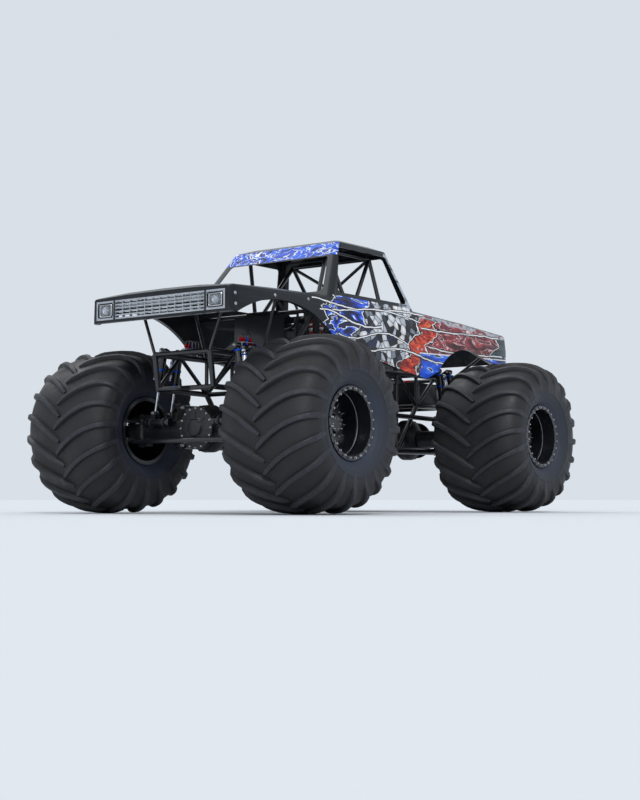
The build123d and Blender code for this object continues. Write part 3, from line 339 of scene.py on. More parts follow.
# columns: height, rise, bends per metre, shift, half width, from, to
liverySlashes = ((2.088, 0.030, 3.1, 0.5, 0.0065, -1.34, 0.62), (2.040, 0.045, 2.7, 1.9, 0.0055, -1.24, 0.55),
                 (1.945, 0.060, 4.1, 0.3, 0.0070, -1.10, -0.20), (1.800, 0.050, 5.2, 2.2, 0.0060, -0.95, 0.30),
                 (1.660, 0.045, 3.8, 1.1, 0.0065, -0.60, 1.10), (1.985, 0.020, 2.2, 2.9, 0.0060, 0.55, 2.30),
                 (1.770, 0.022, 2.9, 0.9, 0.0060, 0.70, 2.35))
# for each art, the noise that it reads and its colours
liveryArt = {
    "fender": ("flames", ((0.30, "#04060d"), (0.41, "#0b1646"), (0.49, "#1c49d2"), (0.545, "#4483f5"),
                          (0.550, "#eef3fa"), (0.572, "#eef3fa"), (0.577, "#05070f"), (0.66, "#0d1b52"))),
    "burst": ("streaks", ((0.34, "#2b0808"), (0.44, "#8c1a17"), (0.52, "#cf3d26"), (0.57, "#f0703c"),
                          (0.575, "#12060a"), (0.6, "#12060a"), (0.605, "#a8262a"))),
    "bed": ("streaks", ((0.32, "#24101a"), (0.42, "#5b2230"), (0.49, "#93343d"), (0.535, "#b9555a"),
                        (0.54, "#d9d3da"), (0.552, "#d9d3da"), (0.557, "#3d1722"), (0.65, "#7d313d"))),
    "tail": ("streaks", ((0.35, "#0f1d22"), (0.65, "#2c4c52"))),
    "strip": ("flames", ((0.34, "#0a1a55"), (0.5, "#2257dd"), (0.58, "#4a8af6"), (0.585, "#e9edf3"),
                         (0.6, "#e9edf3"), (0.605, "#0a1436"))),
    "rail": ("streaks", ((0.4, "#5f6670"), (0.5, "#b3bac4"), (0.6, "#7b3038"))),
    "post": ("streaks", ((0.42, "#39424e"), (0.55, "#9fa9b6"))),
    "visor": ("spread", ((0.36, "#060913"), (0.43, "#1a49cc"), (0.52, "#3f7ff2"), (0.525, "#eef2f8"),
                         (0.555, "#eef2f8"), (0.56, "#0a0f1e"), (0.64, "#1c4fd6")))}
splinterTones = ((0.0, "#0b0e14"), (0.2, "#dde3ec"), (0.36, "#818b98"), (0.48, "#1b212b"), (0.6, "#b9c2ce"),
                 (0.7, "#333d4a"), (0.8, "#f1f4f8"), (0.9, "#12224f"), (0.96, "#7e2226"))


def lacqueredGelcoat():
    material, node, link, shader, place = startMaterial("lacqueredGelcoat", Roughness=0.42, IOR=1.45,
                                                        Coat_Weight=0.28, Coat_Roughness=0.09)
    shader.inputs["Specular IOR Level"].default_value = 0.22
    x, y, z = node("SeparateXYZ", {0: place}, output=None)
    leaned = node("Math", {0: z, 1: 0.55, 2: y}, operation="MULTIPLY_ADD")
    tall = node("Math", {0: z, 1: 2.7}, operation="MULTIPLY")
    drawn = node("CombineXYZ", {0: leaned, 1: tall})
    tall = node("Math", {0: z, 1: 2.2}, operation="MULTIPLY")
    spread = node("CombineXYZ", {0: x, 1: tall})
    noise = {"flames": {"Vector": drawn, "Scale": 2.3, "Detail": 2.5, "Roughness": 0.5, "Distortion": 1.5},
             "streaks": {"Vector": drawn, "Scale": 4.6, "Detail": 3.0, "Distortion": 0.7},
             "spread": {"Vector": spread, "Scale": 6.5, "Detail": 2.0, "Distortion": 1.2},
             "fine": {"Vector": place, "Scale": 8.0, "Detail": 2.0},
             "dust": {"Vector": place, "Scale": 5.0, "Detail": 9.0, "Roughness": 0.75},
             "peel": {"Vector": place, "Scale": 70.0, "Detail": 2.0}}
    noise = {name: node("TexNoise", sockets) for name, sockets in noise.items()}
    art = {name: fillRamp(node("ValToRGB", {0: noise[source]}), stops)
           for name, (source, stops) in liveryArt.items()}

    # the door's splinters are bent cells, each in one tone that deepens outwards, with a dark rim
    leaned = node("Math", {0: z, 1: 0.45, 2: y}, operation="MULTIPLY_ADD")
    raised = node("Math", {0: y, 1: -0.3, 2: z}, operation="MULTIPLY_ADD")
    cells = node("CombineXYZ", {0: leaned, 1: raised})
    warp = node("TexNoise", {"Vector": cells, "Scale": 3.0, "Detail": 1.0}, output="Color")
    cells = node("VectorMath", {0: warp, 1: (0.16, 0.16, 0.0), 2: cells}, operation="MULTIPLY_ADD")
    size = {"Vector": cells, "Scale": 1 / livery["splinter"], "Randomness": 1.0}
    splinters = node("TexVoronoi", size, output=None, voronoi_dimensions="2D")
    rims = node("TexVoronoi", size, output="Distance", voronoi_dimensions="2D", feature="DISTANCE_TO_EDGE")
    pick = node("SeparateColor", {0: splinters["Color"]})
    tone = fillRamp(node("ValToRGB", {0: pick}), splinterTones, "CONSTANT")
    away = node("Math", {0: splinters["Distance"], 1: 0.55}, operation="MULTIPLY")
    tone = node("Mix", {0: away, 6: tone, 7: "#0c1119"}, data_type="RGBA", output=2)
    rim = node("Math", {0: rims, 1: 0.045}, operation="LESS_THAN")
    art["door"] = node("Mix", {0: rim, 6: tone, 7: "#07090e"}, data_type="RGBA", output=2)

    # layers of the side, from the lowest: where each shows, and its paint.
    # The zones' borders run in zigzags, each with a dark and a pale outline.
    saw = node("Math", {0: z, 1: livery["zig"]}, operation="PINGPONG")
    along = node("Math", {0: z, 1: livery["lean"], 2: y}, operation="MULTIPLY_ADD")
    for bend, share in ((saw, 1.3), (noise["fine"], 0.22)):
        along = node("Math", {0: bend, 1: share, 2: along}, operation="MULTIPLY_ADD")
    layers = []
    for start, name in liveryZones:
        border = start + livery["lean"] * 1.9 + 0.19
        past = node("Math", {0: along, 1: border}, operation="GREATER_THAN")
        shadow = node("Math", {0: along, 1: border + 0.013, 2: 0.024}, operation="COMPARE")
        outline = node("Math", {0: along, 1: border, 2: 0.009}, operation="COMPARE")
        layers += [(past, art[name]), (shadow, livery["black"]), (outline, livery["white"])]
    # a blue strip under a rising line on the bed, a pale rail along the bed's top
    onBed = node("Math", {0: y, 1: livery["bedFrom"]}, operation="GREATER_THAN")
    under = node("Math", {0: saw, 1: 0.35, 2: z}, operation="MULTIPLY_ADD")
    slope = node("Math", {0: y, 1: livery["rise"]}, operation="MULTIPLY")
    under = node("Math", {0: under, 1: slope}, operation="SUBTRACT")
    above = node("Math", {0: y, 1: livery["rise"], 2: z}, operation="MULTIPLY_ADD")
    for sockets, operation, paint in (({0: under, 1: livery["stripTop"]}, "LESS_THAN", art["strip"]),
                                      ({0: under, 1: livery["stripTop"], 2: 0.008}, "COMPARE", livery["white"]),
                                      ({0: above, 1: livery["railFrom"] + 0.09}, "GREATER_THAN", art["rail"])):
        there = node("Math", sockets, operation=operation)
        layers.append((node("Math", {0: there, 1: onBed}, operation="MULTIPLY"), paint))
    for height, swing, bends, turn, half, start, end in liverySlashes:
        wave = node("Math", {0: y, 1: bends, 2: turn}, operation="MULTIPLY_ADD")
        wave = node("Math", {0: wave}, operation="SINE")
        line = node("Math", {0: wave, 1: swing, 2: height}, operation="MULTIPLY_ADD")
        line = node("Math", {0: noise["fine"], 1: 0.03, 2: line}, operation="MULTIPLY_ADD")
        line = node("Math", {0: z, 1: line}, operation="SUBTRACT")
        after = node("Math", {0: y, 1: start}, operation="GREATER_THAN")
        before = node("Math", {0: y, 1: end}, operation="LESS_THAN")
        inside = node("Math", {0: after, 1: before}, operation="MULTIPLY")
        for width, paint in ((half * 2.4, "#06080d"), (half, livery["white"])):
            near = node("Math", {0: line, 1: 0.0, 2: width}, operation="COMPARE")
            layers.append((node("Math", {0: near, 1: inside}, operation="MULTIPLY"), paint))
    sides = livery["black"]
    for mask, paint in layers:
        sides = node("Mix", {0: mask, 6: sides, 7: paint}, data_type="RGBA", output=2)

    # hood, roof and all that faces up or forward stays black, but for blue-grey rear cab posts and a strip over
    # the windscreen
    facing = node("SeparateXYZ", {0: node("NewGeometry", output="Normal")}, output=None)
    hand = node("Math", {0: x}, operation="SIGN")
    out = node("Math", {0: facing["X"], 1: hand}, operation="MULTIPLY")
    reach = node("Math", {0: x}, operation="ABSOLUTE")
    postY = node("Math", {0: noise["fine"], 1: 0.1, 2: y}, operation="MULTIPLY_ADD")
    places = (((out, "GREATER_THAN", 0.55), (z, "LESS_THAN", livery["beltLine"]), (reach, "GREATER_THAN", 0.80),
               sides),
              ((postY, "GREATER_THAN", 0.26), (z, "GREATER_THAN", livery["beltLine"]), (out, "GREATER_THAN", 0.35),
               art["post"]),
              ((z, "GREATER_THAN", 2.65), (facing["Y"], "LESS_THAN", -0.45), (y, "LESS_THAN", -0.30),
               art["visor"]))
    base = livery["black"]
    for *tests, paint in places:
        mask = 1.0
        for value, operation, limit in tests:
            met = node("Math", {0: value, 1: limit}, operation=operation)
            mask = node("Math", {0: mask, 1: met}, operation="MULTIPLY")
        base = node("Mix", {0: mask, 6: base, 7: paint}, data_type="RGBA", output=2)
    # arena dust near the lower edge
    low = node("MapRange", {0: z, 1: 2.0, 2: 1.45, 3: 0.02, 4: 0.3})
    dust = node("Math", {0: noise["dust"], 1: 0.52}, operation="GREATER_THAN")
    dust = node("Math", {0: low, 1: dust}, operation="MULTIPLY")
    link(node("Mix", {0: dust, 6: base, 7: "#5c534b"}, data_type="RGBA", output=2), shader.inputs["Base Color"])
    link(node("Bump", {"Height": noise["peel"], "Strength": 0.15, "Distance": 0.0006}), shader.inputs["Normal"])
    return material


finishes = {
    "rubber": mouldedTyreRubber(),
    "gelcoat": lacqueredGelcoat(),
    "frameCoat": powderCoat("blackPowderCoat", "#12151b"),
    "cageCoat": powderCoat("cagePowderCoat", "#1b1e25"),
    "wheelCoat": powderCoat("wheelPowderCoat", "#14171e", 0.35),
    "shockCoat": powderCoat("blackAnodised", "#111216", 0.2),
    "tankBlack": mouldedPlastic("blackTankPlastic", "#15161a", 0.42),
    "casting": paintedCasting("satinBlackCasting", "#17181c"),
    "engineRed": paintedCasting("redEnginePaint", "#6f1512"),
    "skid": scrapedSkidPaint(),
    "header": heatTintedSteel(),
    "lens": pressedGlass(),
    "chrome": bareMetal("polishedChrome", "#d2d5da", 0.09),
    "satinChrome": bareMetal("satinChrome", "#c3c7cd", 0.2),
    "castAlloy": bareMetal("castAluminium", "#9ea2a8", 0.42, 0.0012),
    "sheetAlloy": bareMetal("sheetAluminium", "#a9adb3", 0.36, 0.0002, 600.0),
    "bolt": bareMetal("zincPlatedSteel", "#b9bbbd", 0.3),
    "bareSteel": bareMetal("bareSteel", "#75777b", 0.36, 0.0005),
    "redAnodised": bareMetal("redAnodised", "#a8161b", 0.28),
    "blueAnodised": bareMetal("blueAnodised", "#1d4fb5", 0.28),
    "seatCloth": wovenCloth("seatCloth", "#22242a"),
    "webbing": wovenCloth("harnessWebbing", "#8f1a1d", 330.0, "Y"),
    "plastic": mouldedPlastic("blackPlastic", "#17181b"),
    # painted shade: near-black for the flat discs that stand for the dark inside of pipe mouths and holes
    "holeShadeBlack": mouldedPlastic("holeShadeBlack", "#101113", 0.6),
    "dialFace": mouldedPlastic("dialFace", "#dfe2e4", 0.3)}
print("finishes mixed", len(finishes))


def camel(name):
    first, *rest = name.split("_")
    return first + "".join(word.title() for word in rest)


def addPiece(name, bm, finish, body, sharp=32.0, replaced=()):
    for face in bm.faces:
        face.smooth = True
    for e in bm.edges:
        e.smooth = len(e.link_faces) == 2 and e.calc_face_angle(0) < radians(sharp)
    mesh = bpy.data.meshes.new(name)
    bm.to_mesh(mesh)
    bm.free()
    piece = bpy.data.objects.new(name, mesh)
    bpy.context.collection.objects.link(piece)
    mesh.materials.append(finishes[finish])
    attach(piece, body)
    if replaced:
        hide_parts(*replaced)
    return piece


def fixPieces(*rows):
    # columns: name, its bmesh, finish, and a CAD piece, which is not used. They all ride the chassis
    for name, bm, finish, node in rows:
        addPiece(name, bm, finish, "chassis")


def dressNode(name, finish, sharp=32.0, bevel=0.0):
    # A merged, smooth-shaded copy of a CAD piece takes its finish
    bm = bmesh.new()
    bm.from_mesh(nodes[name].data)
    bmesh.ops.remove_doubles(bm, verts=bm.verts, dist=0.00002)
    if bevel:
        bmesh.ops.dissolve_limit(bm, angle_limit=radians(1.0), verts=bm.verts, edges=bm.edges)
        crisp = [e for e in bm.edges if len(e.link_faces) == 2 and e.calc_face_angle(0) > radians(40)]
        bmesh.ops.bevel(bm, geom=crisp, offset=bevel, segments=2, affect="EDGES", profile=0.5, material=-1,
                        clamp_overlap=True)
    return addPiece(camel(name) + "Dressed", bm, finish, bodyOf[name], sharp, [name])


# columns: finish, bevel in metres
nodeFinish = {
    "chassis_rails": ("frameCoat", 0), "chassis_bracing": ("frameCoat", 0),
    "chassis_brackets": ("frameCoat", 0), "tow_lugs": ("frameCoat", 0.002), "roll_cage": ("cageCoat", 0),
    "body_mounts": ("cageCoat", 0), "front_clip": ("gelcoat", 0), "cab_shell": ("gelcoat", 0),
    "bed_shell": ("gelcoat", 0), "grille": ("satinChrome", 0), "headlamps": ("satinChrome", 0),
    "floor_pan": ("cageCoat", 0), "belly_skid": ("skid", 0.0015), "seat": ("plastic", 0.004),
    "steering_wheel": ("plastic", 0), "engine_block": ("engineRed", 0.004), "cylinder_heads": ("castAlloy", 0.003),
    "supercharger": ("castAlloy", 0.002), "exhaust_headers": ("header", 0), "gearbox": ("castAlloy", 0),
    "transfer_case": ("castAlloy", 0.004), "driveshafts": ("shockCoat", 0), "radiator": ("castAlloy", 0.002),
    "fuel_cell": ("tankBlack", 0.004), "axle_housing_front": ("casting", 0), "axle_housing_rear": ("casting", 0),
    "suspension_links": ("frameCoat", 0), "shock_bodies": ("shockCoat", 0), "shock_shafts": ("chrome", 0),
    "ram_barrels": ("shockCoat", 0), "tie_rod_front": ("frameCoat", 0), "tie_rod_rear": ("frameCoat", 0)}
for corner in corners:
    nodeFinish["knuckle_" + corner] = ("casting", 0)
    nodeFinish["wheel_" + corner] = ("wheelCoat", 0)
    nodeFinish["ram_rod_" + corner] = ("chrome", 0)
for name, (finish, bevel) in nodeFinish.items():
    dressNode(name, finish, bevel=bevel)
print("nodes dressed", len(nodeFinish))


def finished(bm):
    # Hands a filled bmesh over as a mesh that can be stamped many times
    mesh = bpy.data.meshes.new("stamp")
    bm.to_mesh(mesh)
    bm.free()
    return mesh


def stamp(bm, mesh, where):
    # where: a matrix, or a place alone
    start = len(bm.verts)
    bm.from_mesh(mesh)
    bm.verts.ensure_lookup_table()
    matrix = where if isinstance(where, Matrix) else Matrix.Translation(where)
    bmesh.ops.transform(bm, matrix=matrix, verts=bm.verts[start:])


def circle(count, radius, shift=0.0):
    # Places round a circle: across and up, from a share of a step onwards
    turns = [tau * (k + shift) / count for k in range(count)]
    return [(radius * sin(a), radius * cos(a)) for a in turns]


def pointing(place, axis, size=1.0, roll=0.0):
    turn = Vector(axis).to_track_quat("Z", "Y").to_matrix().to_4x4()
    return Matrix.Translation(place) @ turn @ Matrix.Rotation(roll, 4, "Z") @ Matrix.Scale(size, 4)


def lathe(points, steps=24):
    # points: radius, height
    bm = bmesh.new()
    verts = [bm.verts.new((r, 0, h)) for r, h in points]
    edges = [bm.edges.new(pair) for pair in zip(verts, verts[1:])]
    bmesh.ops.spin(bm, geom=verts + edges, cent=(0, 0, 0), axis=(0, 0, 1), angle=tau, steps=steps, use_merge=True)
    bmesh.ops.remove_doubles(bm, verts=bm.verts, dist=0.00001)
    bmesh.ops.recalc_face_normals(bm, faces=bm.faces)
    return finished(bm)


def hexBolt():
    # A hexagon head of unit width with a crowned top, on its washer
    bm = bmesh.new()
    bmesh.ops.create_cone(bm, cap_ends=True, segments=6, radius1=0.577, radius2=0.577, depth=0.62,
                          matrix=Matrix.Translation((0, 0, 0.43)))
    top = [e for e in bm.edges if all(v.co.z > 0.7 for v in e.verts)]
    bmesh.ops.bevel(bm, geom=top, offset=0.07, segments=2, affect="EDGES", profile=0.5, material=-1)
    washer = lathe(((0.0, 0.12), (0.62, 0.12), (0.66, 0.08), (0.66, -0.02)), 16)
    bm.from_mesh(washer)
    return finished(bm)


def block(size, bevel, segments=2):
    bm = bmesh.new()
    bmesh.ops.create_cube(bm, size=1.0, matrix=Matrix.Diagonal((*size, 1)))
    bmesh.ops.bevel(bm, geom=bm.edges[:], offset=bevel, segments=segments, affect="EDGES", profile=0.5,
                    material=-1)
    return finished(bm)


def sweepTube(bm, path, radius, sides=10):
    # A tube with closed ends along a run of points
    path = [Vector(p) for p in path]
    rings = []
    across = None
    for i, point in enumerate(path):
        ahead = (path[min(i + 1, len(path) - 1)] - path[max(i - 1, 0)]).normalized()
        across = (ahead.orthogonal() if across is None else across - ahead * across.dot(ahead)).normalized()
        other = ahead.cross(across)
        rings.append([bm.verts.new(point + (across * cos(tau * k / sides) + other * sin(tau * k / sides)) * radius)
                      for k in range(sides)])
    for low, high in zip(rings, rings[1:]):
        for k in range(sides):
            bm.faces.new((low[k], low[(k + 1) % sides], high[(k + 1) % sides], high[k]))
    bm.faces.new(rings[0][::-1])
    bm.faces.new(rings[-1])


def bentRun(stops, bend):
    # The corners of a hard line, each rounded by a short arc
    stops = [Vector(p) for p in stops]
    run = [stops[0]]
    for before, corner, after in zip(stops, stops[1:], stops[2:]):
        start = corner + (before - corner).normalized() * bend
        end = corner + (after - corner).normalized() * bend
        run += [(1 - t) ** 2 * start + 2 * t * (1 - t) * corner + t ** 2 * end for t in (0, 0.25, 0.5, 0.75, 1)]
    return run + [stops[-1]]


bolt = hexBolt()


# Tyre: a spun balloon carcass, and worn bars that curve from the middle over the shoulder
tyre = {"lugs": 20, "steps": 120, "sweep": 23.0, "inner": -0.030, "run": 0.7719, "height": 0.042,
        "endHeight": 0.020, "root": 0.066, "rings": 15, "halfWidth": 0.5448}
tyreLow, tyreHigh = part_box("tyre_front_left")
treadLimit = (tyreHigh.z - tyreLow.z) / 2 - 0.0005
# half of the carcass section: distance from the middle, radius
carcassHalf = ((0.0, 0.797), (0.10, 0.797), (0.20, 0.794), (0.30, 0.785), (0.375, 0.769), (0.430, 0.748),
               (0.470, 0.722), (0.500, 0.690), (0.521, 0.652), (0.5345, 0.612), (0.5375, 0.606), (0.5430, 0.566),
               (0.5445, 0.530), (0.5420, 0.500), (0.5450, 0.495), (0.5440, 0.486), (0.5380, 0.480),
               (0.5290, 0.452), (0.5150, 0.424), (0.4985, 0.402), (0.4965, 0.394), (0.4860, 0.386),
               (0.4780, 0.372), (0.4620, 0.356), (0.4520, 0.3445))


def spinCarcass():
    bm = bmesh.new()
    points = [(-x, r) for x, r in reversed(carcassHalf[1:])] + list(carcassHalf)
    points += [(0.448, 0.319), (-0.448, 0.319)]
    verts = [bm.verts.new((x, 0, -r)) for x, r in points]
    edges = [bm.edges.new(pair) for pair in zip(verts, verts[1:] + verts[:1])]
    bmesh.ops.spin(bm, geom=verts + edges, cent=(0, 0, 0), axis=(1, 0, 0), angle=tau, steps=tyre["steps"],
                   use_merge=True)
    bmesh.ops.remove_doubles(bm, verts=bm.verts, dist=0.0001)
    bmesh.ops.recalc_face_normals(bm, faces=bm.faces)
    return bm


def carcassPoint(reach):
    # reach: distance along the section from the middle line
    sign = -1 if reach < 0 else 1
    reach = abs(reach)
    for (x0, r0), (x1, r1) in zip(carcassHalf, carcassHalf[1:]):
        run = hypot(x1 - x0, r1 - r0)
        if reach <= run:
            t = reach / run
            return sign * (x0 + (x1 - x0) * t), r0 + (r1 - r0) * t
        reach -= run
    return sign * carcassHalf[-1][0], carcassHalf[-1][1]


def lugPoint(s, turn):
    x, r = carcassPoint(tyre["inner"] + s * tyre["run"])
    a = turn - radians(tyre["sweep"]) * (1 - (1 - s) ** 1.9)
    return Vector((x, r * sin(a), -r * cos(a)))


def addLug(bm, turn, side, worn):
    rings = []
    # section of the bar: across, up, share of the worn top
    section = ((-0.62, -0.30, 0), (-0.52, 0.10, 0), (-0.40, 0.80, 0.2), (-0.33, 0.95, 0.8), (-0.18, 1.0, 1),
               (0.18, 1.0, 1), (0.33, 0.95, 0.8), (0.40, 0.80, 0.2), (0.52, 0.10, 0), (0.62, -0.30, 0))
    for k in range(tyre["rings"]):
        s = k / (tyre["rings"] - 1)
        point = lugPoint(s, turn)
        ahead = (lugPoint(min(s + 0.02, 1.0), turn) - lugPoint(max(s - 0.02, 0.0), turn)).normalized()
        (x0, r0), (x1, r1) = (carcassPoint(tyre["inner"] + s * tyre["run"] + step) for step in (-0.01, 0.01))
        spoke = Vector((0, point.y, point.z)).normalized()
        up = (spoke * abs(x1 - x0) + Vector((-(r1 - r0), 0, 0))).normalized()
        across = ahead.cross(up).normalized()
        ends = min(1.0, 0.45 + 6.0 * s, 0.30 + 6.0 * (1 - s))
        height = (tyre["height"] + (tyre["endHeight"] - tyre["height"]) * s ** 3) * ends
        width = tyre["root"] * (0.80 + 0.25 * s) * min(1.0, 0.62 + 5.0 * s, 0.55 + 4.0 * (1 - s))
        ring = []
        for u, h, top in section:
            spot = point + across * (u * width) + up * (h * height if h > 0 else h * 0.05)
            r = hypot(spot.y, spot.z)
            if r > treadLimit:
                spot = Vector((spot.x, spot.y * treadLimit / r, spot.z * treadLimit / r))
            vert = bm.verts.new((side * min(spot.x, tyre["halfWidth"]), spot.y, spot.z))
            vert[worn] = top
            ring.append(vert)
        rings.append(ring)
    faces = []
    for low, high in zip(rings, rings[1:]):
        for k in range(len(section) - 1):
            faces.append(bm.faces.new((low[k], high[k], high[k + 1], low[k + 1])))
    faces += [bm.faces.new(rings[0]), bm.faces.new(rings[-1][::-1])]
    if side < 0:
        bmesh.ops.reverse_faces(bm, faces=faces)


def buildTyre():
    bm = spinCarcass()
    worn = bm.verts.layers.float.new("lugTop")
    for i in range(tyre["lugs"]):
        addLug(bm, tau * i / tyre["lugs"], 1, worn)
        addLug(bm, tau * (i + 0.5) / tyre["lugs"], -1, worn)
    return finished(bm)


tyreMesh = buildTyre()
for name in corners:
    bm = bmesh.new()
    bm.from_mesh(tyreMesh)
    bmesh.ops.translate(bm, verts=bm.verts, vec=middle("tyre_" + name))
    addPiece("treadedTyre." + name, bm, "rubber", "wheel_" + name, 40, ["tyre_" + name])
print("tyres moulded")


# Wheel fittings: clamp bolts round the bead ring, wheel studs, planetary hub screws and an air valve.
# They are laid out for a wheel that faces +X with its middle at the origin.
# columns: count, radius, face, size, mesh or None for a wheel nut: bead ring, disc, hub cover, cap
wheelCircles = ((24, 0.3195, 0.483, 0.017, bolt), (20, 0.225, 0.150, 1.0, None), (12, 0.160, 0.245, 0.014, bolt),
                (6, 0.055, 0.300, 0.010, bolt))
hubRibs = {"count": 12, "size": (0.012, 0.010, 0.060), "face": 0.2335, "radius": 0.1930, "lean": 0.35}


def buildWheelFittings():
    bm = bmesh.new()
    nut = lathe(((0.0, 0.030), (0.006, 0.030), (0.0075, 0.028), (0.0075, 0.014), (0.0135, 0.013), (0.0150, 0.0),
                 (0.0165, -0.001)), 12)
    for count, radius, face, size, mesh in wheelCircles:
        for k, (across, up) in enumerate(circle(count, radius, 0.5)):
            stamp(bm, mesh or nut, pointing((face, across, up), (1, 0, 0), size, 0.9 * k))
    sweepTube(bm, [(0.30, 0.0, 0.3015), (0.335, 0.0, 0.290), (0.365, 0.0, 0.286)], 0.004, 8)
    return finished(bm)


def buildHubRings():
    # Machined rings on the hub's cover and a scalloped cap, seen deep in the wheel
    bm = bmesh.new()
    ring = lathe(((0.096, 0.2445), (0.100, 0.2505), (0.112, 0.2505), (0.116, 0.2445)), 48)
    lip = lathe(((0.3060, 0.452), (0.3060, 0.4605), (0.3090, 0.4625), (0.3125, 0.4605), (0.3125, 0.452)), 72)
    step = lathe(((0.3045, 0.300), (0.3000, 0.304), (0.3000, 0.318), (0.3045, 0.322)), 64)
    for mesh in (ring, lip, step):
        stamp(bm, mesh, pointing((0, 0, 0), (1, 0, 0)))
    rib = block(hubRibs["size"], 0.003)
    out = Matrix.Translation((hubRibs["face"], 0, hubRibs["radius"])) @ Matrix.Rotation(hubRibs["lean"], 4, "Y")
    for k in range(hubRibs["count"]):
        stamp(bm, rib, Matrix.Rotation(tau * k / hubRibs["count"], 4, "X") @ out)
    return finished(bm)


wheelFittings, hubRings = buildWheelFittings(), buildHubRings()
for name, (side, end) in corners.items():
    place = Matrix.Translation((side * hubPlace.x, end * axleY, axleZ))
    place = place @ Matrix.Rotation(0 if side > 0 else pi, 4, "Z")
    for label, mesh, finish in (("wheelFittings", wheelFittings, "bolt"), ("hubRings", hubRings, "bareSteel")):
        bm = bmesh.new()
        stamp(bm, mesh, place)
        addPiece(label + "." + name, bm, finish, "wheel_" + name)
print("wheels fitted")


# Body trim, laid on the skin where rays meet it
skin = bmesh.new()
for name in ("front_clip", "cab_shell", "bed_shell"):
    skin.from_mesh(nodes[name].data)
skinTree = BVHTree.FromBMesh(skin)
skin.free()


def onSide(y, z, side):
    place, normal, _, _ = skinTree.ray_cast(Vector((side * 1.4, y, z)), Vector((-side, 0, 0)), 1.0)
    return (place, normal) if place and abs(place.x) > 0.6 else (None, None)


def onTop(x, y):
    place, normal, _, _ = skinTree.ray_cast(Vector((x, y, 3.2)), Vector((0, 0, -1)), 1.6)
    return place, normal


def layRibbon(bm, spots, width, proud, outward):
    # A shallow strip with sloping edges that follows places on the skin
    rows = []
    for i, (place, normal) in enumerate(spots):
        ahead = (spots[min(i + 1, len(spots) - 1)][0] - spots[max(i - 1, 0)][0]).normalized()
        normal = normal if normal.dot(outward) > 0 else -normal
        across = ahead.cross(normal).normalized() * width / 2
        rows.append([bm.verts.new(place + across * u + normal * h)
                     for u, h in ((-1, -0.0004), (-0.6, proud), (0.6, proud), (1, -0.0004))])
    for low, high in zip(rows, rows[1:]):
        for k in range(3):
            bm.faces.new((low[k], high[k], high[k + 1], low[k + 1]))


# columns: corners of a seam as length and height along the side
sideSeams = (((-0.760, 2.150), (-0.800, 2.050), (-0.790, 1.660)),
             ((-0.790, 1.660), (-0.640, 1.615), (0.250, 1.545), (0.330, 1.620)),
             ((0.330, 1.620), (0.345, 2.020), (0.300, 2.160)),
             ((-2.300, 2.020), (-2.000, 2.035), (-1.100, 2.060)), ((0.600, 2.010), (1.500, 1.995), (2.380, 1.965)),
             ((1.000, 1.620), (1.300, 1.850), (1.760, 1.860), (2.160, 1.760)))


def seamSpots(points, side):
    spots = []
    for (y0, z0), (y1, z1) in zip(points, points[1:]):
        steps = max(2, int(hypot(y1 - y0, z1 - z0) / 0.02))
        for k in range(steps + (y1 == points[-1][0])):
            place, normal = onSide(y0 + (y1 - y0) * k / steps, z0 + (z1 - z0) * k / steps, side)
            if place:
                spots.append((place, normal))
    return spots


# Quarter-turn fasteners hold the three body panels to their stays: length and height, then across and length
fastenerSpots = [(y, z) for y in (-1.060, -0.980) for z in (1.78, 1.94, 2.07)]
fastenerSpots += [(y, z) for y in (0.480, 0.560) for z in (1.56, 1.75, 1.93, 2.08)]
fastenerSpots += [(-2.44, 1.94), (-2.44, 2.04), (-1.9, 2.075), (-1.4, 2.09), (1.45, 1.90), (2.05, 1.86),
                  (2.43, 1.80)]
topFasteners = ((0.62, -2.36), (-0.62, -2.36), (0.70, -1.12), (-0.70, -1.12), (0.0, -1.09), (0.45, -2.40),
                (-0.45, -2.40))


def trimBody():
    seamShades, pins = bmesh.new(), bmesh.new()
    # painted shade: thin dark strips along the panel lines stand for the shade in moulded grooves
    for side in (1, -1):
        for points in sideSeams:
            spots = seamSpots(points, side)
            if len(spots) > 2:
                layRibbon(seamShades, spots, 0.0055, 0.0004, Vector((side, 0, 0)))
    disc = lathe(((0.0, 0.0030), (0.0060, 0.0034), (0.0078, 0.0026), (0.0085, 0.0010), (0.0125, 0.0008),
                  (0.0135, -0.0010)), 20)
    slot = block((0.0100, 0.0018, 0.0020), 0.0004)
    spots = [(onSide(y, z, side), Vector((side, 0, 0))) for y, z in fastenerSpots for side in (1, -1)]
    spots += [(onTop(x, y), Vector((0, 0, 1))) for x, y in topFasteners]
    for k, ((place, normal), outward) in enumerate(spots):
        if place:
            normal = normal if normal.dot(outward) > 0 else -normal
            stamp(pins, disc, pointing(place, normal, 1.25))
            stamp(pins, slot, pointing(place + normal * 0.0042, normal, 1.25, 0.8 * k))
    fixPieces(("seamShadeStrips", seamShades, "plastic", "cab_shell"), ("quarterTurnPins", pins, "bolt", "cab_shell"))


trimBody()


# Front: lamp bowls with fluted lenses in thick bright bezels, and a fine mesh in the grille's upper rows
front = {"gap": 0.026, "lampX": (0.590, 0.832), "z": (1.895, 2.080), "face": -2.506, "frame": 0.018,
         "back": 0.0155, "rim": (0.80, 0.84), "band": 0.013, "boltSpread": (0.455, 0.44), "bar": 0.016,
         "pitch": 0.0105, "meshHalf": 0.570, "crossWires": 7}


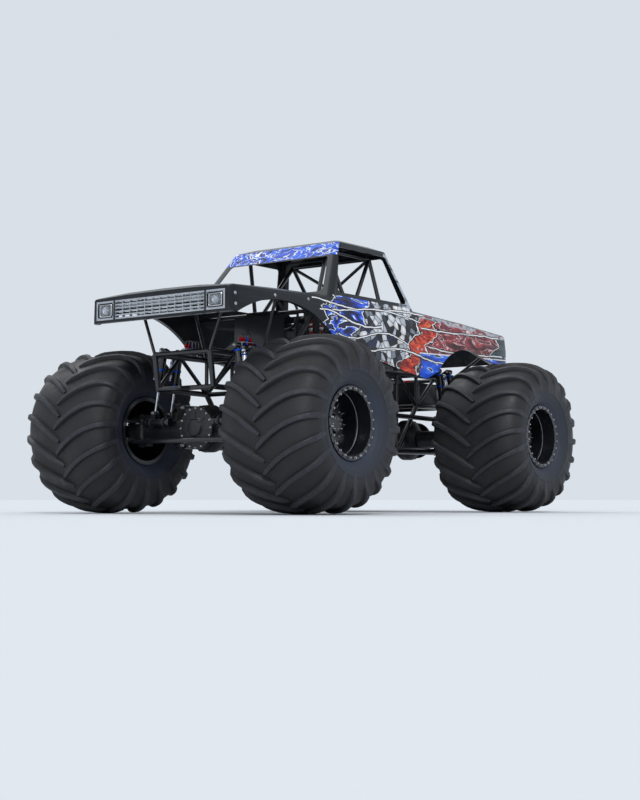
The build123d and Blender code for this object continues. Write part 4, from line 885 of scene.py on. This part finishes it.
def roundedFrame(width, height, band, depth, radius):
    # A rounded-square picture frame in the XZ plane that faces -Y, its face crowned
    bm = bmesh.new()
    rows = []
    for inset, y in ((0.0, depth), (0.0, 0.004), (0.004, 0.0), (band - 0.005, 0.0), (band, 0.006), (band, depth)):
        r = max(radius - inset, 0.003)
        ring = []
        for k, (cx, cz) in enumerate(((1, 1), (-1, 1), (-1, -1), (1, -1))):
            for j in range(6):
                a = pi / 2 * (k + j / 5)
                ring.append(bm.verts.new((cx * (width / 2 - inset - r) + r * cos(a), y,
                                          cz * (height / 2 - inset - r) + r * sin(a))))
        rows.append(ring)
    for low, high in zip(rows, rows[1:]):
        for k in range(24):
            bm.faces.new((low[k], low[(k + 1) % 24], high[(k + 1) % 24], high[k]))
    bmesh.ops.recalc_face_normals(bm, faces=bm.faces)
    return finished(bm)


def buildFront():
    face, middleZ = front["face"], sum(front["z"]) / 2
    width, height = front["lampX"][1] - front["lampX"][0], front["z"][1] - front["z"][0]
    inner = width - 2 * front["frame"], height - 2 * front["frame"]
    rim = inner[0] * front["rim"][0], inner[1] * front["rim"][1]
    shade, rims, glass, wires, gapShades = (bmesh.new() for _ in range(5))
    bowl = lathe(((0.0, 0.004), (0.020, 0.0045), (0.038, 0.008), (0.047, 0.014)), 32)
    bulb = lathe(((0.0, 0.013), (0.009, 0.012), (0.012, 0.007), (0.012, 0.003)), 20)
    for side in (1, -1):
        x = side * sum(front["lampX"]) / 2
        back = (x, face + front["back"], middleZ)
        # painted shade: a black rubber strip parts the lamp from the grille and stands for the dark of a gap there
        stamp(gapShades, block((front["gap"], 0.006, height), 0.002),
              (side * front["lampX"][0], face + 0.0015, middleZ))
        stamp(shade, block((inner[0] - 0.002, 0.003, inner[1] - 0.002), 0.001), back)
        stamp(rims, roundedFrame(*rim, front["band"], 0.016, 0.016), (x, face - 0.0005, middleZ))
        for mesh in (bowl, bulb):
            stamp(rims, mesh, pointing(back, (0, -1, 0)))
        stamp(glass, block((rim[0] - 0.024, 0.004, rim[1] - 0.024), 0.0015), (x, face + 0.0035, middleZ))
        for across, up in quarters:
            place = (x + across * inner[0] * front["boltSpread"][0], face + 0.013,
                     middleZ + up * inner[1] * front["boltSpread"][1])
            stamp(rims, bolt, pointing(place, (0, -1, 0), 0.009))
    # the mesh fills the upper two of the grille's four rows
    low = front["z"][0] + front["bar"] + 2 * (height - 2 * front["bar"]) / 4 + 0.004
    top = front["z"][1] - 0.020
    count = int(2 * front["meshHalf"] / front["pitch"])
    for k in range(count + 1):
        x = -front["meshHalf"] + 2 * front["meshHalf"] * k / count
        sweepTube(wires, [(x, face + 0.020, low), (x, face + 0.020, top)], 0.0018, 6)
    for k in range(front["crossWires"]):
        level = low + (top - low) * (k + 0.5) / front["crossWires"]
        sweepTube(wires, [(x, face + 0.0215, level) for x in (-0.572, 0.572)], 0.0016, 6)
    fixPieces(("lampGapShades", gapShades, "rubber", "headlamps"), ("lampShades", shade, "plastic", "headlamps"),
              ("lampRims", rims, "chrome", "headlamps"), ("lampLenses", glass, "lens", "headlamps"),
              ("grilleMesh", wires, "satinChrome", "grille"))


buildFront()
print("body trimmed")


# Frame: weld beads where the tubes meet the rails, and hydraulic valve blocks with coloured fittings
truss = {"railX": 0.36, "rail": 0.028, "brace": 0.020, "cross": 0.024,
         "joints": {"lowEnd": (2.12, 1.22), "kick": (1.4, 1.21), "bellyEnd": (1.0, 0.66), "belly": (0.4, 0.66),
                    "bellyMid": (0.0, 0.66), "topEnd": (2.17, 1.56), "tower": (1.8, 1.56), "topKick": (1.4, 1.56),
                    "topBelly": (1.0, 1.56), "topMid": (0.4, 1.56)},
         "braces": (("lowEnd", "tower"), ("tower", "kick"), ("kick", "topKick"), ("kick", "topBelly"),
                    ("bellyEnd", "topBelly"), ("belly", "topMid"), ("bellyEnd", "topMid"), ("topMid", "bellyMid"))}


def weldBead(radius):
    # A ring of overlapping ripples
    bm = bmesh.new()
    rings = []
    for k in range(36):
        a = tau * k / 36
        swell = 0.0030 + 0.0009 * (k % 2)
        rings.append([bm.verts.new(((radius + swell * cos(b)) * cos(a), (radius + swell * cos(b)) * sin(a),
                                    swell * 1.3 * sin(b))) for b in (tau * j / 6 for j in range(6))])
    for low, high in zip(rings, rings[1:] + rings[:1]):
        for k in range(6):
            bm.faces.new((low[k], high[k], high[(k + 1) % 6], low[(k + 1) % 6]))
    bmesh.ops.recalc_face_normals(bm, faces=bm.faces)
    return finished(bm)


def weldFrame():
    bm = bmesh.new()
    bead, cross = weldBead(truss["brace"]), weldBead(truss["cross"])
    for one, other in truss["braces"]:
        for start, stop in ((one, other), (other, one)):
            (y0, z0), (y1, z1) = truss["joints"][start], truss["joints"][stop]
            run = Vector((0, y1 - y0, z1 - z0)).normalized()
            step = (truss["rail"] + 0.004) / max(abs(run.z), 0.35)
            for side, end in quarters:
                place = Vector((side * truss["railX"], end * (y0 + run.y * step), z0 + run.z * step))
                stamp(bm, bead, pointing(place, (0, end * run.y, run.z)))
    for name in ("lowEnd", "kick", "bellyEnd", "belly", "topEnd", "topKick", "topMid"):
        y, z = truss["joints"][name]
        for side, end in quarters:
            stamp(bm, cross, pointing((side * (truss["railX"] - truss["rail"] - 0.002), end * y, z), (1, 0, 0)))
    addPiece("weldBeads", bm, "frameCoat", "chassis")


weldFrame()

# columns: middle of the block, its size, ports along it
valveBlocks = (((0.405, -1.700, 1.635), (0.075, 0.190, 0.085), 4),
               ((0.405, 1.560, 1.635), (0.070, 0.150, 0.080), 3),
               ((-0.405, -1.620, 1.630), (0.070, 0.140, 0.075), 3))


def plumb():
    cases, red, blue, lines = (bmesh.new() for _ in range(4))
    elbow = lathe(((0.0, 0.040), (0.008, 0.040), (0.0095, 0.038), (0.0095, 0.024), (0.0135, 0.022),
                   (0.0135, 0.010), (0.0110, 0.009), (0.0110, -0.002)), 12)
    hexagon = lathe(((0.0165, 0.020), (0.0175, 0.018), (0.0175, 0.010), (0.0165, 0.008), (0.0100, 0.008)), 6)
    for (x, y, z), size, ports in valveBlocks:
        side = 1 if x > 0 else -1
        top = z + size[2] / 2
        stamp(cases, block(size, 0.005), (x, y, z))
        stamp(cases, block((0.090, size[1] * 0.7, 0.008), 0.002), (side * 0.385, y, z - size[2] / 2 - 0.003))
        for k in range(ports):
            at = y + size[1] * ((k + 0.5) / ports - 0.5)
            for spot, way in (((x + side * size[0] / 2, at, z + 0.012), (side, 0, 0)), ((x, at, top), (0, 0, 1))):
                into = red if (k + (way[2] > 0)) % 3 else blue
                for mesh in (elbow, hexagon):
                    stamp(into, mesh, pointing(spot, way, 1.15))
            # a hard line rises from the top port, bends aside and drops into the frame
            aside = (x - side * 0.055, at + 0.035)
            run = [(x, at, top + 0.04), (x, at, top + 0.075), (*aside, top + 0.075), (*aside, z - 0.045)]
            sweepTube(lines, bentRun(run, 0.018), 0.0055, 8)
    fixPieces(("valveBlocks", cases, "sheetAlloy", "ram_barrels"),
              ("redFittings", red, "redAnodised", "ram_barrels"),
              ("blueFittings", blue, "blueAnodised", "ram_barrels"),
              ("hardLines", lines, "bareSteel", "ram_barrels"))


plumb()
print("frame welded and plumbed")


# Suspension: reservoirs and adjusters on the shocks, and a through bolt with its nut at every eye
shock = {"low": (0.59, 0.115, 1.003), "top": (0.48, 0.115, 1.625), "collars": (0.085, 0.30, 0.545), "tank": 0.300,
         "tankOut": 0.0685, "clamps": (0.075, 0.185), "neck": 0.060, "eyeHalf": 0.0345}
# columns: half width, distance from the middle, height
linkEyes = ((0.44, 1.73, 0.688), (0.44, 0.42, 0.680), (0.44, 1.73, 1.063), (0.44, 0.43, 1.080))
linkBolt = {"half": 0.040, "size": 0.032}


def buildSuspension():
    tanks, rings, bolts, lines = (bmesh.new() for _ in range(4))
    tank = lathe(((0.0, 0.240), (0.018, 0.240), (0.023, 0.236), (0.0235, 0.222), (0.0215, 0.219), (0.0235, 0.216),
                  (0.026, 0.212), (0.026, 0.024), (0.0235, 0.020), (0.0215, 0.017), (0.0235, 0.014),
                  (0.0235, 0.003), (0.018, 0.0), (0.0, 0.0)), 24)
    collar = lathe(((0.0395, -0.011), (0.0440, -0.011), (0.0455, -0.008), (0.0455, 0.008), (0.0440, 0.011),
                    (0.0395, 0.011)), 28)
    knob = lathe(((0.0, 0.016), (0.009, 0.016), (0.0105, 0.014), (0.0105, 0.004), (0.0125, 0.002),
                  (0.0125, 0.0)), 12)
    clamp = lathe(((0.026, -0.007), (0.0285, -0.006), (0.0285, 0.006), (0.026, 0.007)), 24)
    for side, end in quarters:
        for lean in (1, -1):
            low = Vector((side * shock["low"][0], end * (axleY + lean * shock["low"][1]), shock["low"][2]))
            top = Vector((side * shock["top"][0], low.y, shock["top"][2]))
            run = (low - top).normalized()
            out = Vector((side, 0, 0))
            out = (out - run * out.dot(run)).normalized()
            for share in shock["collars"]:
                stamp(rings, collar, pointing(top + run * (low - top).length * share, run))
            base = top + run * shock["tank"] + out * shock["tankOut"]
            stamp(tanks, tank, pointing(base, -run))
            for height in shock["clamps"]:
                stamp(rings, clamp, pointing(base - run * height, run))
            stamp(rings, knob, pointing(base, run))
            neck = top + run * shock["neck"]
            line = (neck + out * 0.036, neck + out * shock["tankOut"] - run * 0.004, base - run * 0.236)
            sweepTube(lines, bentRun(line, 0.012), 0.0055, 8)
            for eye, size in ((low, 0.026), (top, 0.024)):
                for way in (1, -1):
                    stamp(bolts, bolt, pointing(eye + Vector((0, way * shock["eyeHalf"], 0)), (0, way, 0), size))
    for x, y, z in linkEyes:
        for side, end in quarters:
            for way in (1, -1):
                place = (side * x + way * linkBolt["half"], end * y, z)
                stamp(bolts, bolt, pointing(place, (way, 0, 0), linkBolt["size"]))
    fixPieces(("shockReservoirs", tanks, "satinChrome", "shock_bodies"),
              ("shockCollars", rings, "blueAnodised", "shock_bodies"),
              ("shockLines", lines, "bareSteel", "shock_bodies"),
              ("pivotBolts", bolts, "bolt", "suspension_links"))


buildSuspension()

# Axles: bolted covers on the differentials, brake discs with calipers on the pinions
axle = {"coverY": 1.955, "bolts": 16, "boltRadius": 0.194, "boltY": 1.9665, "ribs": 7, "ribRadius": 0.128,
        "ribY": 1.976, "discY": 1.405, "holes": 24, "holeRadius": 0.125, "caliperX": 0.135}


def buildAxles():
    covers, steel, bolts = (bmesh.new() for _ in range(3))
    # flat outside its middle, so that the tie rod passes in front of it at full lock
    dish = lathe(((0.0, 0.052), (0.060, 0.050), (0.078, 0.042), (0.090, 0.021), (0.165, 0.018), (0.176, 0.013),
                  (0.206, 0.012), (0.210, 0.009), (0.210, -0.004)), 48)
    rib = block((0.008, 0.008, 0.066), 0.002)
    disc = lathe(((0.052, -0.006), (0.150, -0.006), (0.1515, -0.004), (0.1515, 0.004), (0.150, 0.006),
                  (0.052, 0.006)), 56)
    hole = lathe(((0.0, 0.0012), (0.005, 0.0012), (0.006, 0.0)), 8)
    caliper = block((0.075, 0.060, 0.100), 0.010, 3)
    for end in (1, -1):
        for k, (across, up) in enumerate(circle(axle["bolts"], axle["boltRadius"])):
            stamp(bolts, bolt, pointing((across, end * axle["boltY"], axleZ + up), (0, end, 0), 0.015, 0.5 * k))
        stamp(covers, dish, pointing((0, end * axle["coverY"], axleZ), (0, end, 0)))
        for k in range(axle["ribs"]):
            turn = Matrix.Rotation(tau * k / axle["ribs"], 4, "Y") @ Matrix.Translation((0, 0, axle["ribRadius"]))
            stamp(covers, rib, Matrix.Translation((0, end * axle["ribY"], axleZ)) @ turn)
        stamp(steel, disc, pointing((0, end * axle["discY"], axleZ), (0, end, 0)))
        for across, up in circle(axle["holes"], axle["holeRadius"]):
            stamp(bolts, hole, pointing((across, end * (axle["discY"] - 0.0058), axleZ + up), (0, -end, 0)))
        for side in (1, -1):
            stamp(covers, caliper, (side * axle["caliperX"], end * axle["discY"], axleZ + 0.012))
    fixPieces(("axleCovers", covers, "casting", "axle_housing_front"),
              ("brakeDiscs", steel, "bareSteel", "axle_housing_front"),
              ("axleBolts", bolts, "bolt", "axle_housing_front"))


buildAxles()
print("suspension and axles dressed")


# Engine: finned covers on the heads, header flanges, pulley faces, an injector hat with butterflies, fuel lines
engine = {"crankZ": 1.13, "front": 0.405, "rear": 0.985, "coverTop": 0.406, "ribs": 5, "ribPitch": 0.013,
          "ports": 4, "portY": 0.500, "pitch": 0.128, "headerX": 0.303, "headerEnd": 0.95}
blower = {"hatZ": 1.726, "throatX": 0.112, "throatY": 0.500, "studs": 7, "studX": 0.098, "studZ": 1.6115,
          "studPitch": 0.063, "nozzleX": 0.113, "nozzleY": 0.545, "nozzlePitch": 0.085,
          "fuelRail": (0.136, 0.672, 1.655)}
# columns: height, radius
pulleys, pulleyY = ((1.538, 0.062), (1.13, 0.078)), 1.083


def bankPlace(side, y, up, across=0.0):
    # A place on a cylinder bank: along the crank, out along the cylinders, and across them
    return side * (up + across) * cos(pi / 4), y, engine["crankZ"] + (up - across) * cos(pi / 4)


def buildEngineTrim():
    alloy, bright, red, blue, dark = (bmesh.new() for _ in range(5))
    middleY = (engine["front"] + engine["rear"]) / 2
    length = engine["rear"] - engine["front"]
    rib = block((0.0055, length - 0.120, 0.009), 0.0015)
    flange = lathe(((0.021, 0.008), (0.029, 0.008), (0.031, 0.006), (0.031, 0.0), (0.021, 0.0)), 20)
    pipeMouthShade = lathe(((0.0, 0.0008), (0.0165, 0.0008), (0.0168, -0.0004)), 20)
    boot = lathe(((0.0, 0.046), (0.006, 0.045), (0.0075, 0.040), (0.0095, 0.012), (0.0115, 0.010),
                  (0.0115, 0.0)), 12)
    breather = lathe(((0.0, 0.058), (0.022, 0.056), (0.027, 0.050), (0.027, 0.028), (0.014, 0.022),
                      (0.014, 0.0)), 24)
    for side in (1, -1):
        out = Vector((side * sin(pi / 4), 0, cos(pi / 4)))
        turn = out.to_track_quat("Z", "Y").to_matrix().to_4x4()
        for k in range(engine["ribs"]):
            place = bankPlace(side, middleY, engine["coverTop"] + 0.001, engine["ribPitch"] * (k - 2))
            stamp(alloy, rib, Matrix.Translation(place) @ turn)
        for k in range(6):
            y = engine["front"] + 0.045 + (length - 0.090) * k / 5
            for across in (-0.05795, 0.05795):
                stamp(bright, bolt, pointing(bankPlace(side, y, 0.352, across), out, 0.012, k))
        for y in (engine["front"] + 0.10, engine["rear"] - 0.10):
            place = bankPlace(side, y, engine["coverTop"] - 0.001, -0.012 * side)
            stamp(bright, breather, pointing(place, out, 0.72))
        for k in range(engine["ports"]):
            y = engine["portY"] + engine["pitch"] * k
            stamp(red, boot, pointing(bankPlace(side, y + 0.045, 0.300, 0.0880), (side, 0, -0.35)))
            x = side * engine["headerX"]
            stamp(bright, flange, pointing((x, y, engine["headerEnd"] + 0.018), (0, 0, 1), 0.98))
            # painted shade: a flat dark disc on each header's mouth stands for the dark inside of the pipe
            stamp(dark, pipeMouthShade, pointing((x, y, engine["headerEnd"]), (0, 0, -1)))
    # butterflies across the hat's mouth, on their shaft
    butterfly = lathe(((0.0, 0.003), (0.040, 0.003), (0.044, 0.001), (0.044, -0.001), (0.040, -0.003),
                       (0.0, -0.003)), 32)
    throat = lathe(((0.0445, -0.004), (0.0495, -0.004), (0.0510, 0.004), (0.0445, 0.004)), 36)
    for x in (-blower["throatX"], 0.0, blower["throatX"]):
        stamp(bright, butterfly, pointing((x, blower["throatY"], blower["hatZ"]), (0, -1, 0.25)))
        stamp(alloy, throat, pointing((x, blower["throatY"] + 0.0025, blower["hatZ"]), (0, -1, 0)))
    sweepTube(bright, [(x, blower["throatY"] - 0.0045, blower["hatZ"]) for x in (-0.172, 0.172)], 0.0042, 10)
    # studs along the blower case, and injectors under the hat with their lines to a fuel rail
    for x in (-blower["studX"], blower["studX"]):
        for k in range(blower["studs"]):
            place = (x, 0.500 + blower["studPitch"] * k, blower["studZ"])
            stamp(bright, bolt, pointing(place, (0, 0, 1), 0.012, k))
    nozzle = lathe(((0.0, 0.030), (0.005, 0.030), (0.0065, 0.026), (0.0065, 0.016), (0.0095, 0.014),
                    (0.0095, 0.0)), 10)
    railX, railY, railZ = blower["fuelRail"]
    for side in (1, -1):
        for k in range(4):
            y = blower["nozzleY"] + blower["nozzlePitch"] * k
            stamp(red if k % 2 else blue, nozzle, pointing((side * blower["nozzleX"], y, 1.565), (side, 0, 0.3)))
            line = ((0.140, y, 1.575), (0.162, y, 1.585), (0.162, y, 1.640), (0.140, railY, 1.652))
            line = bentRun([(side * lineX, lineY, lineZ) for lineX, lineY, lineZ in line], 0.010)
            sweepTube(bright, line, 0.0032, 6)
        stamp(blue, block((0.020, 0.300, 0.018), 0.004), (side * railX, railY, railZ))
        for end in (1, -1):
            stamp(red, nozzle, pointing((side * railX, railY + end * 0.150, railZ), (0, end, 0), 1.2))
    # pulley faces with lightening holes, each hole only a flat dark disc of painted shade
    hub = lathe(((0.0, 0.016), (0.014, 0.016), (0.018, 0.012), (0.018, 0.0), (0.030, -0.002)), 24)
    hole = lathe(((0.0, 0.0006), (0.0085, 0.0006), (0.0090, -0.0006)), 16)
    for z, r in pulleys:
        ring = lathe(((r * 0.80, 0.003), (r * 0.90, 0.004), (r * 0.98, 0.0015), (r * 0.98, -0.004)), 40)
        for mesh in (ring, hub):
            stamp(bright, mesh, pointing((0, pulleyY, z), (0, 1, 0)))
        for across, up in circle(6, r * 0.58):
            stamp(dark, hole, pointing((across, pulleyY + 0.0005, z + up), (0, 1, 0)))
    fixPieces(("coverRibs", alloy, "castAlloy", "cylinder_heads"),
              ("engineBright", bright, "bolt", "cylinder_heads"),
              ("engineRedParts", red, "redAnodised", "supercharger"),
              ("engineBlueParts", blue, "blueAnodised", "supercharger"),
              ("boreShadeDiscs", dark, "holeShadeBlack", "exhaust_headers"))


buildEngineTrim()


# Cooling and fuel: fins, two fans in their shroud, a strapped tank with its cap
radiator = {"y": 1.4, "z": 1.7825, "fins": 60, "finHalf": 0.290, "faces": (1.3690, 1.4310),
            "tankZ": (1.5985, 1.9665), "fanX": 0.155, "fanY": 1.452, "fanZ": 1.782, "blades": 9, "spokes": 3}
fuelCell = {"capY": 1.76, "capZ": 1.489, "capBolts": 12, "capRadius": 0.070, "strapX": 0.2915,
            "strapY": (1.56, 1.96), "strapZ": (1.2335, 1.4915)}


def buildServices():
    fins, dark, bright, straps, red = (bmesh.new() for _ in range(5))
    fin = block((0.0016, 0.004, 0.360), 0.0004, 1)
    for k in range(radiator["fins"]):
        x = -radiator["finHalf"] + 2 * radiator["finHalf"] * k / (radiator["fins"] - 1)
        for y in radiator["faces"]:
            stamp(fins, fin, (x, y, radiator["z"]))
    for z in radiator["tankZ"]:
        stamp(fins, block((0.655, 0.070, 0.034), 0.008, 3), (0, radiator["y"], z))
    shroud = lathe(((0.142, -0.016), (0.150, -0.016), (0.152, -0.012), (0.152, 0.010), (0.146, 0.016),
                    (0.142, 0.016)), 48)
    boss = lathe(((0.0, 0.020), (0.034, 0.018), (0.040, 0.012), (0.040, -0.012)), 28)
    blade = block((0.038, 0.0022, 0.104), 0.0008, 1)
    bladeTurn = Matrix.Translation((0, 0, 0.090)) @ Matrix.Rotation(0.5, 4, "Z")
    spoke, spokePlace = block((0.008, 0.004, 0.110), 0.001, 1), Matrix.Translation((0, 0.014, 0.090))
    for x in (-radiator["fanX"], radiator["fanX"]):
        place = (x, radiator["fanY"], radiator["fanZ"])
        for mesh in (shroud, boss):
            stamp(dark, mesh, pointing(place, (0, 1, 0)))
        for mesh, count, shift, out in ((blade, radiator["blades"], 0.0, bladeTurn),
                                        (spoke, radiator["spokes"], 0.25, spokePlace)):
            for k in range(count):
                turn = Matrix.Rotation(tau * (k + shift) / count, 4, "Y")
                stamp(dark, mesh, Matrix.Translation(place) @ turn @ out)
    cap = lathe(((0.0, 0.030), (0.026, 0.029), (0.031, 0.024), (0.031, 0.010), (0.027, 0.008), (0.027, 0.0)), 28)
    stamp(bright, cap, pointing((0.25, radiator["y"], 1.982), (0, 0, 1), 0.9))
    tankTop = (0.0, fuelCell["capY"], fuelCell["capZ"])
    stamp(red, cap, pointing(tankTop, (0, 0, 1), 1.7))
    stamp(bright, lathe(((0.060, 0.0), (0.078, 0.0), (0.080, 0.003), (0.078, 0.007), (0.060, 0.007)), 36), tankTop)
    for k, (across, up) in enumerate(circle(fuelCell["capBolts"], fuelCell["capRadius"])):
        place = (across, fuelCell["capY"] + up, fuelCell["capZ"] + 0.0075)
        stamp(bright, bolt, pointing(place, (0, 0, 1), 0.009, k))
    flat, upright = block((0.590, 0.040, 0.003), 0.001, 1), block((0.003, 0.040, 0.262), 0.001, 1)
    for y in fuelCell["strapY"]:
        for z in fuelCell["strapZ"]:
            stamp(straps, flat, (0, y, z))
        for x in (-fuelCell["strapX"], fuelCell["strapX"]):
            stamp(straps, upright, (x, y, 1.3625))
            stamp(bright, bolt, pointing((x * 1.005, y, 1.44), (x, 0, 0), 0.016))
    fixPieces(("radiatorFins", fins, "sheetAlloy", "radiator"), ("fans", dark, "plastic", "radiator"),
              ("serviceCaps", bright, "bolt", "radiator"), ("tankStraps", straps, "bareSteel", "fuel_cell"),
              ("tankCap", red, "redAnodised", "fuel_cell"))


buildServices()
print("engine and services dressed")


# Inside: pads and a five-point harness on the shell seat, a dash with dials and switches, a shift lever and pedals
# columns: name, middle, size, crown
pads = (("seatPad", (0, -0.165, 1.672), (0.330, 0.360, 0.036), 0.010),
        ("backPad", (0, 0.014, 1.930), (0.330, 0.034, 0.430), 0.009),
        ("headPad", (0, 0.012, 2.255), (0.250, 0.034, 0.130), 0.008),
        *((name, (x, -0.010, 1.900), (0.018, 0.170, 0.330), 0.004)
          for name, x in (("ribPad.left", 0.1975), ("ribPad.right", -0.1975))))


def buildPad(name, place, size, crown):
    # A crowned, closed cushion whose sides pull in between the corners, with sewn channels across
    bm = bmesh.new()
    bmesh.ops.create_cube(bm, size=1.0)
    bmesh.ops.subdivide_edges(bm, edges=bm.edges[:], cuts=17, use_grid_fill=True)
    thin = min(range(3), key=lambda k: size[k])
    wide = [k for k in range(3) if k != thin]
    for v in bm.verts:
        u, w = v.co[wide[0]] * 2, v.co[wide[1]] * 2
        dome = (1 - u ** 4) * (1 - w ** 4)
        channel = 0.55 + 0.45 * abs(sin(pi * 2.5 * (w + 1)))
        pull = 1 - 0.035 * (1 - w * w) * abs(u) ** 6
        pinch = 1 - 0.035 * (1 - u * u) * abs(w) ** 6
        edge = 1 - 0.55 * max(abs(u), abs(w)) ** 10
        level = v.co[thin] * size[thin] * edge * (0.72 + 0.28 * dome * channel) + (
            v.co[thin] * 2 * crown * dome * 0.3)
        v.co[wide[0]] = u / 2 * size[wide[0]] * pull
        v.co[wide[1]] = w / 2 * size[wide[1]] * pinch
        v.co[thin] = level
    bmesh.ops.translate(bm, verts=bm.verts, vec=place)
    piece = addPiece(name, bm, "seatCloth", "chassis", 80)


for row in pads:
    buildPad(*row)


def layStrap(bm, spots, width, thick=0.003):
    # Flat webbing along places, each with the way that its face looks
    rows = []
    spots = [(Vector(p), Vector(n).normalized()) for p, n in spots]
    fine = []
    for (p0, n0), (p1, n1) in zip(spots, spots[1:]):
        fine += [(p0.lerp(p1, t / 6), n0.lerp(n1, t / 6).normalized()) for t in range(6)]
    fine.append(spots[-1])
    for i, (place, normal) in enumerate(fine):
        ahead = (fine[min(i + 1, len(fine) - 1)][0] - fine[max(i - 1, 0)][0]).normalized()
        across = ahead.cross(normal).normalized() * width / 2
        rows.append([bm.verts.new(place + across * u + normal * h) for u, h in
                     ((-1, 0.0), (-0.96, thick), (-0.3, thick * 1.15), (0.3, thick * 1.15), (0.96, thick),
                      (1, 0.0))])
    for low, high in zip(rows, rows[1:]):
        for k in range(6):
            bm.faces.new((low[k], high[k], high[(k + 1) % 6], low[(k + 1) % 6]))
    bm.faces.new(rows[0])
    bm.faces.new(rows[-1][::-1])


# columns: place for the side at +X, way that the webbing faces: shoulder belt, lap belt
sideBelts = ((((0.085, 0.030, 2.185), (0, -1, 0.6)), ((0.080, -0.012, 2.120), (0, -1, 0)),
              ((0.070, -0.015, 1.960), (0, -1, 0)), ((0.048, -0.022, 1.800), (0, -1, 0)),
              ((0.024, -0.050, 1.745), (0, -1, 0.6))),
             (((0.186, -0.020, 1.712), (-0.5, 0, 1)), ((0.130, -0.050, 1.715), (0, -0.3, 1)),
              ((0.040, -0.070, 1.728), (0, -0.5, 1))))
crotchBelt = (((0, -0.085, 1.728), (0, -0.6, 1)), ((0, -0.200, 1.702), (0, 0, 1)), ((0, -0.330, 1.700), (0, 0, 1)))
dash = {"place": (0, -0.955, 2.010), "lean": radians(12), "dials": 5, "dialPitch": 0.075, "dialY": -0.940,
        "dialZ": 2.018, "switches": 6, "switchPitch": 0.060, "switchY": -0.936, "switchZ": 1.962}


def buildCockpit():
    straps, metal, dark, faces = (bmesh.new() for _ in range(4))
    for side in (1, -1):
        for belt in sideBelts:
            spots = [((side * x, y, z), (side * across, ahead, up)) for (x, y, z), (across, ahead, up) in belt]
            layStrap(straps, spots, 0.050)
        stamp(metal, block((0.056, 0.008, 0.036), 0.003), (side * 0.0745, -0.0195, 1.985))
        stamp(metal, block((0.056, 0.008, 0.020), 0.003), (side * 0.0760, -0.0200, 2.040))
    layStrap(straps, crotchBelt, 0.045)
    buckle = lathe(((0.0, 0.016), (0.022, 0.015), (0.030, 0.010), (0.032, 0.004), (0.032, 0.0), (0.0, 0.0)), 28)
    stamp(metal, buckle, pointing((0, -0.068, 1.738), (0, -0.6, 0.8)))
    # dash panel on the firewall, facing the driver
    tilt = Matrix.Translation(dash["place"]) @ Matrix.Rotation(-dash["lean"], 4, "X")
    stamp(dark, block((0.420, 0.026, 0.150), 0.008, 3), tilt)
    bezel = lathe(((0.0, 0.004), (0.026, 0.004), (0.0265, 0.008), (0.030, 0.009), (0.033, 0.006),
                   (0.033, 0.0)), 32)
    face = lathe(((0.0, 0.0052), (0.0255, 0.0052), (0.0260, 0.0040)), 28)
    pointer = block((0.0026, 0.022, 0.0016), 0.0004, 1)
    switch = lathe(((0.0, 0.020), (0.003, 0.019), (0.0035, 0.004), (0.007, 0.004), (0.007, 0.0)), 10)
    way = Vector((0, cos(dash["lean"]), sin(dash["lean"])))
    for k in range(dash["dials"]):
        base = Vector((dash["dialPitch"] * (k - 2), dash["dialY"], dash["dialZ"]))
        stamp(metal, bezel, pointing(base, way, 0.95))
        stamp(faces, face, pointing(base, way, 0.95))
        stamp(dark, pointer, pointing(base + way * 0.0062, way, 1.0, 0.9 * k))
    for k in range(dash["switches"]):
        place = (dash["switchPitch"] * (k - 2.5), dash["switchY"], dash["switchZ"])
        stamp(metal, switch, pointing(place, (0, 1, 0.3)))
    # shift lever and its gate, beside the seat on the driver's right
    stamp(dark, block((0.080, 0.190, 0.060), 0.008, 3), (-0.290, -0.420, 1.622))
    lever = bentRun([(-0.290, -0.420, 1.645), (-0.290, -0.430, 1.800), (-0.275, -0.450, 1.905)], 0.05)
    sweepTube(metal, lever, 0.008, 12)
    knob = lathe(((0.0, 0.050), (0.014, 0.048), (0.021, 0.036), (0.021, 0.020), (0.012, 0.004), (0.009, 0.0)), 20)
    stamp(dark, knob, pointing((-0.275, -0.450, 1.895), (0.15, -0.2, 1)))
    # pedals hang in front of the firewall's foot
    for x, tall in ((-0.09, 0.11), (0.09, 0.13)):
        turn = Matrix.Translation((x, -0.900, 1.690)) @ Matrix.Rotation(0.35, 4, "X")
        stamp(metal, block((0.070, 0.008, tall), 0.003), turn)
        sweepTube(metal, [(x, -0.905, 1.700), (x, -0.985, 1.800)], 0.007, 8)
    addPiece("harnessWebbing", straps, "webbing", "chassis", 60)
    fixPieces(("cockpitMetal", metal, "bolt", "floor_pan"), ("cockpitPlastic", dark, "plastic", "steering_wheel"),
              ("dialFaces", faces, "dialFace", "steering_wheel"))


buildCockpit()
print("cockpit fitted")
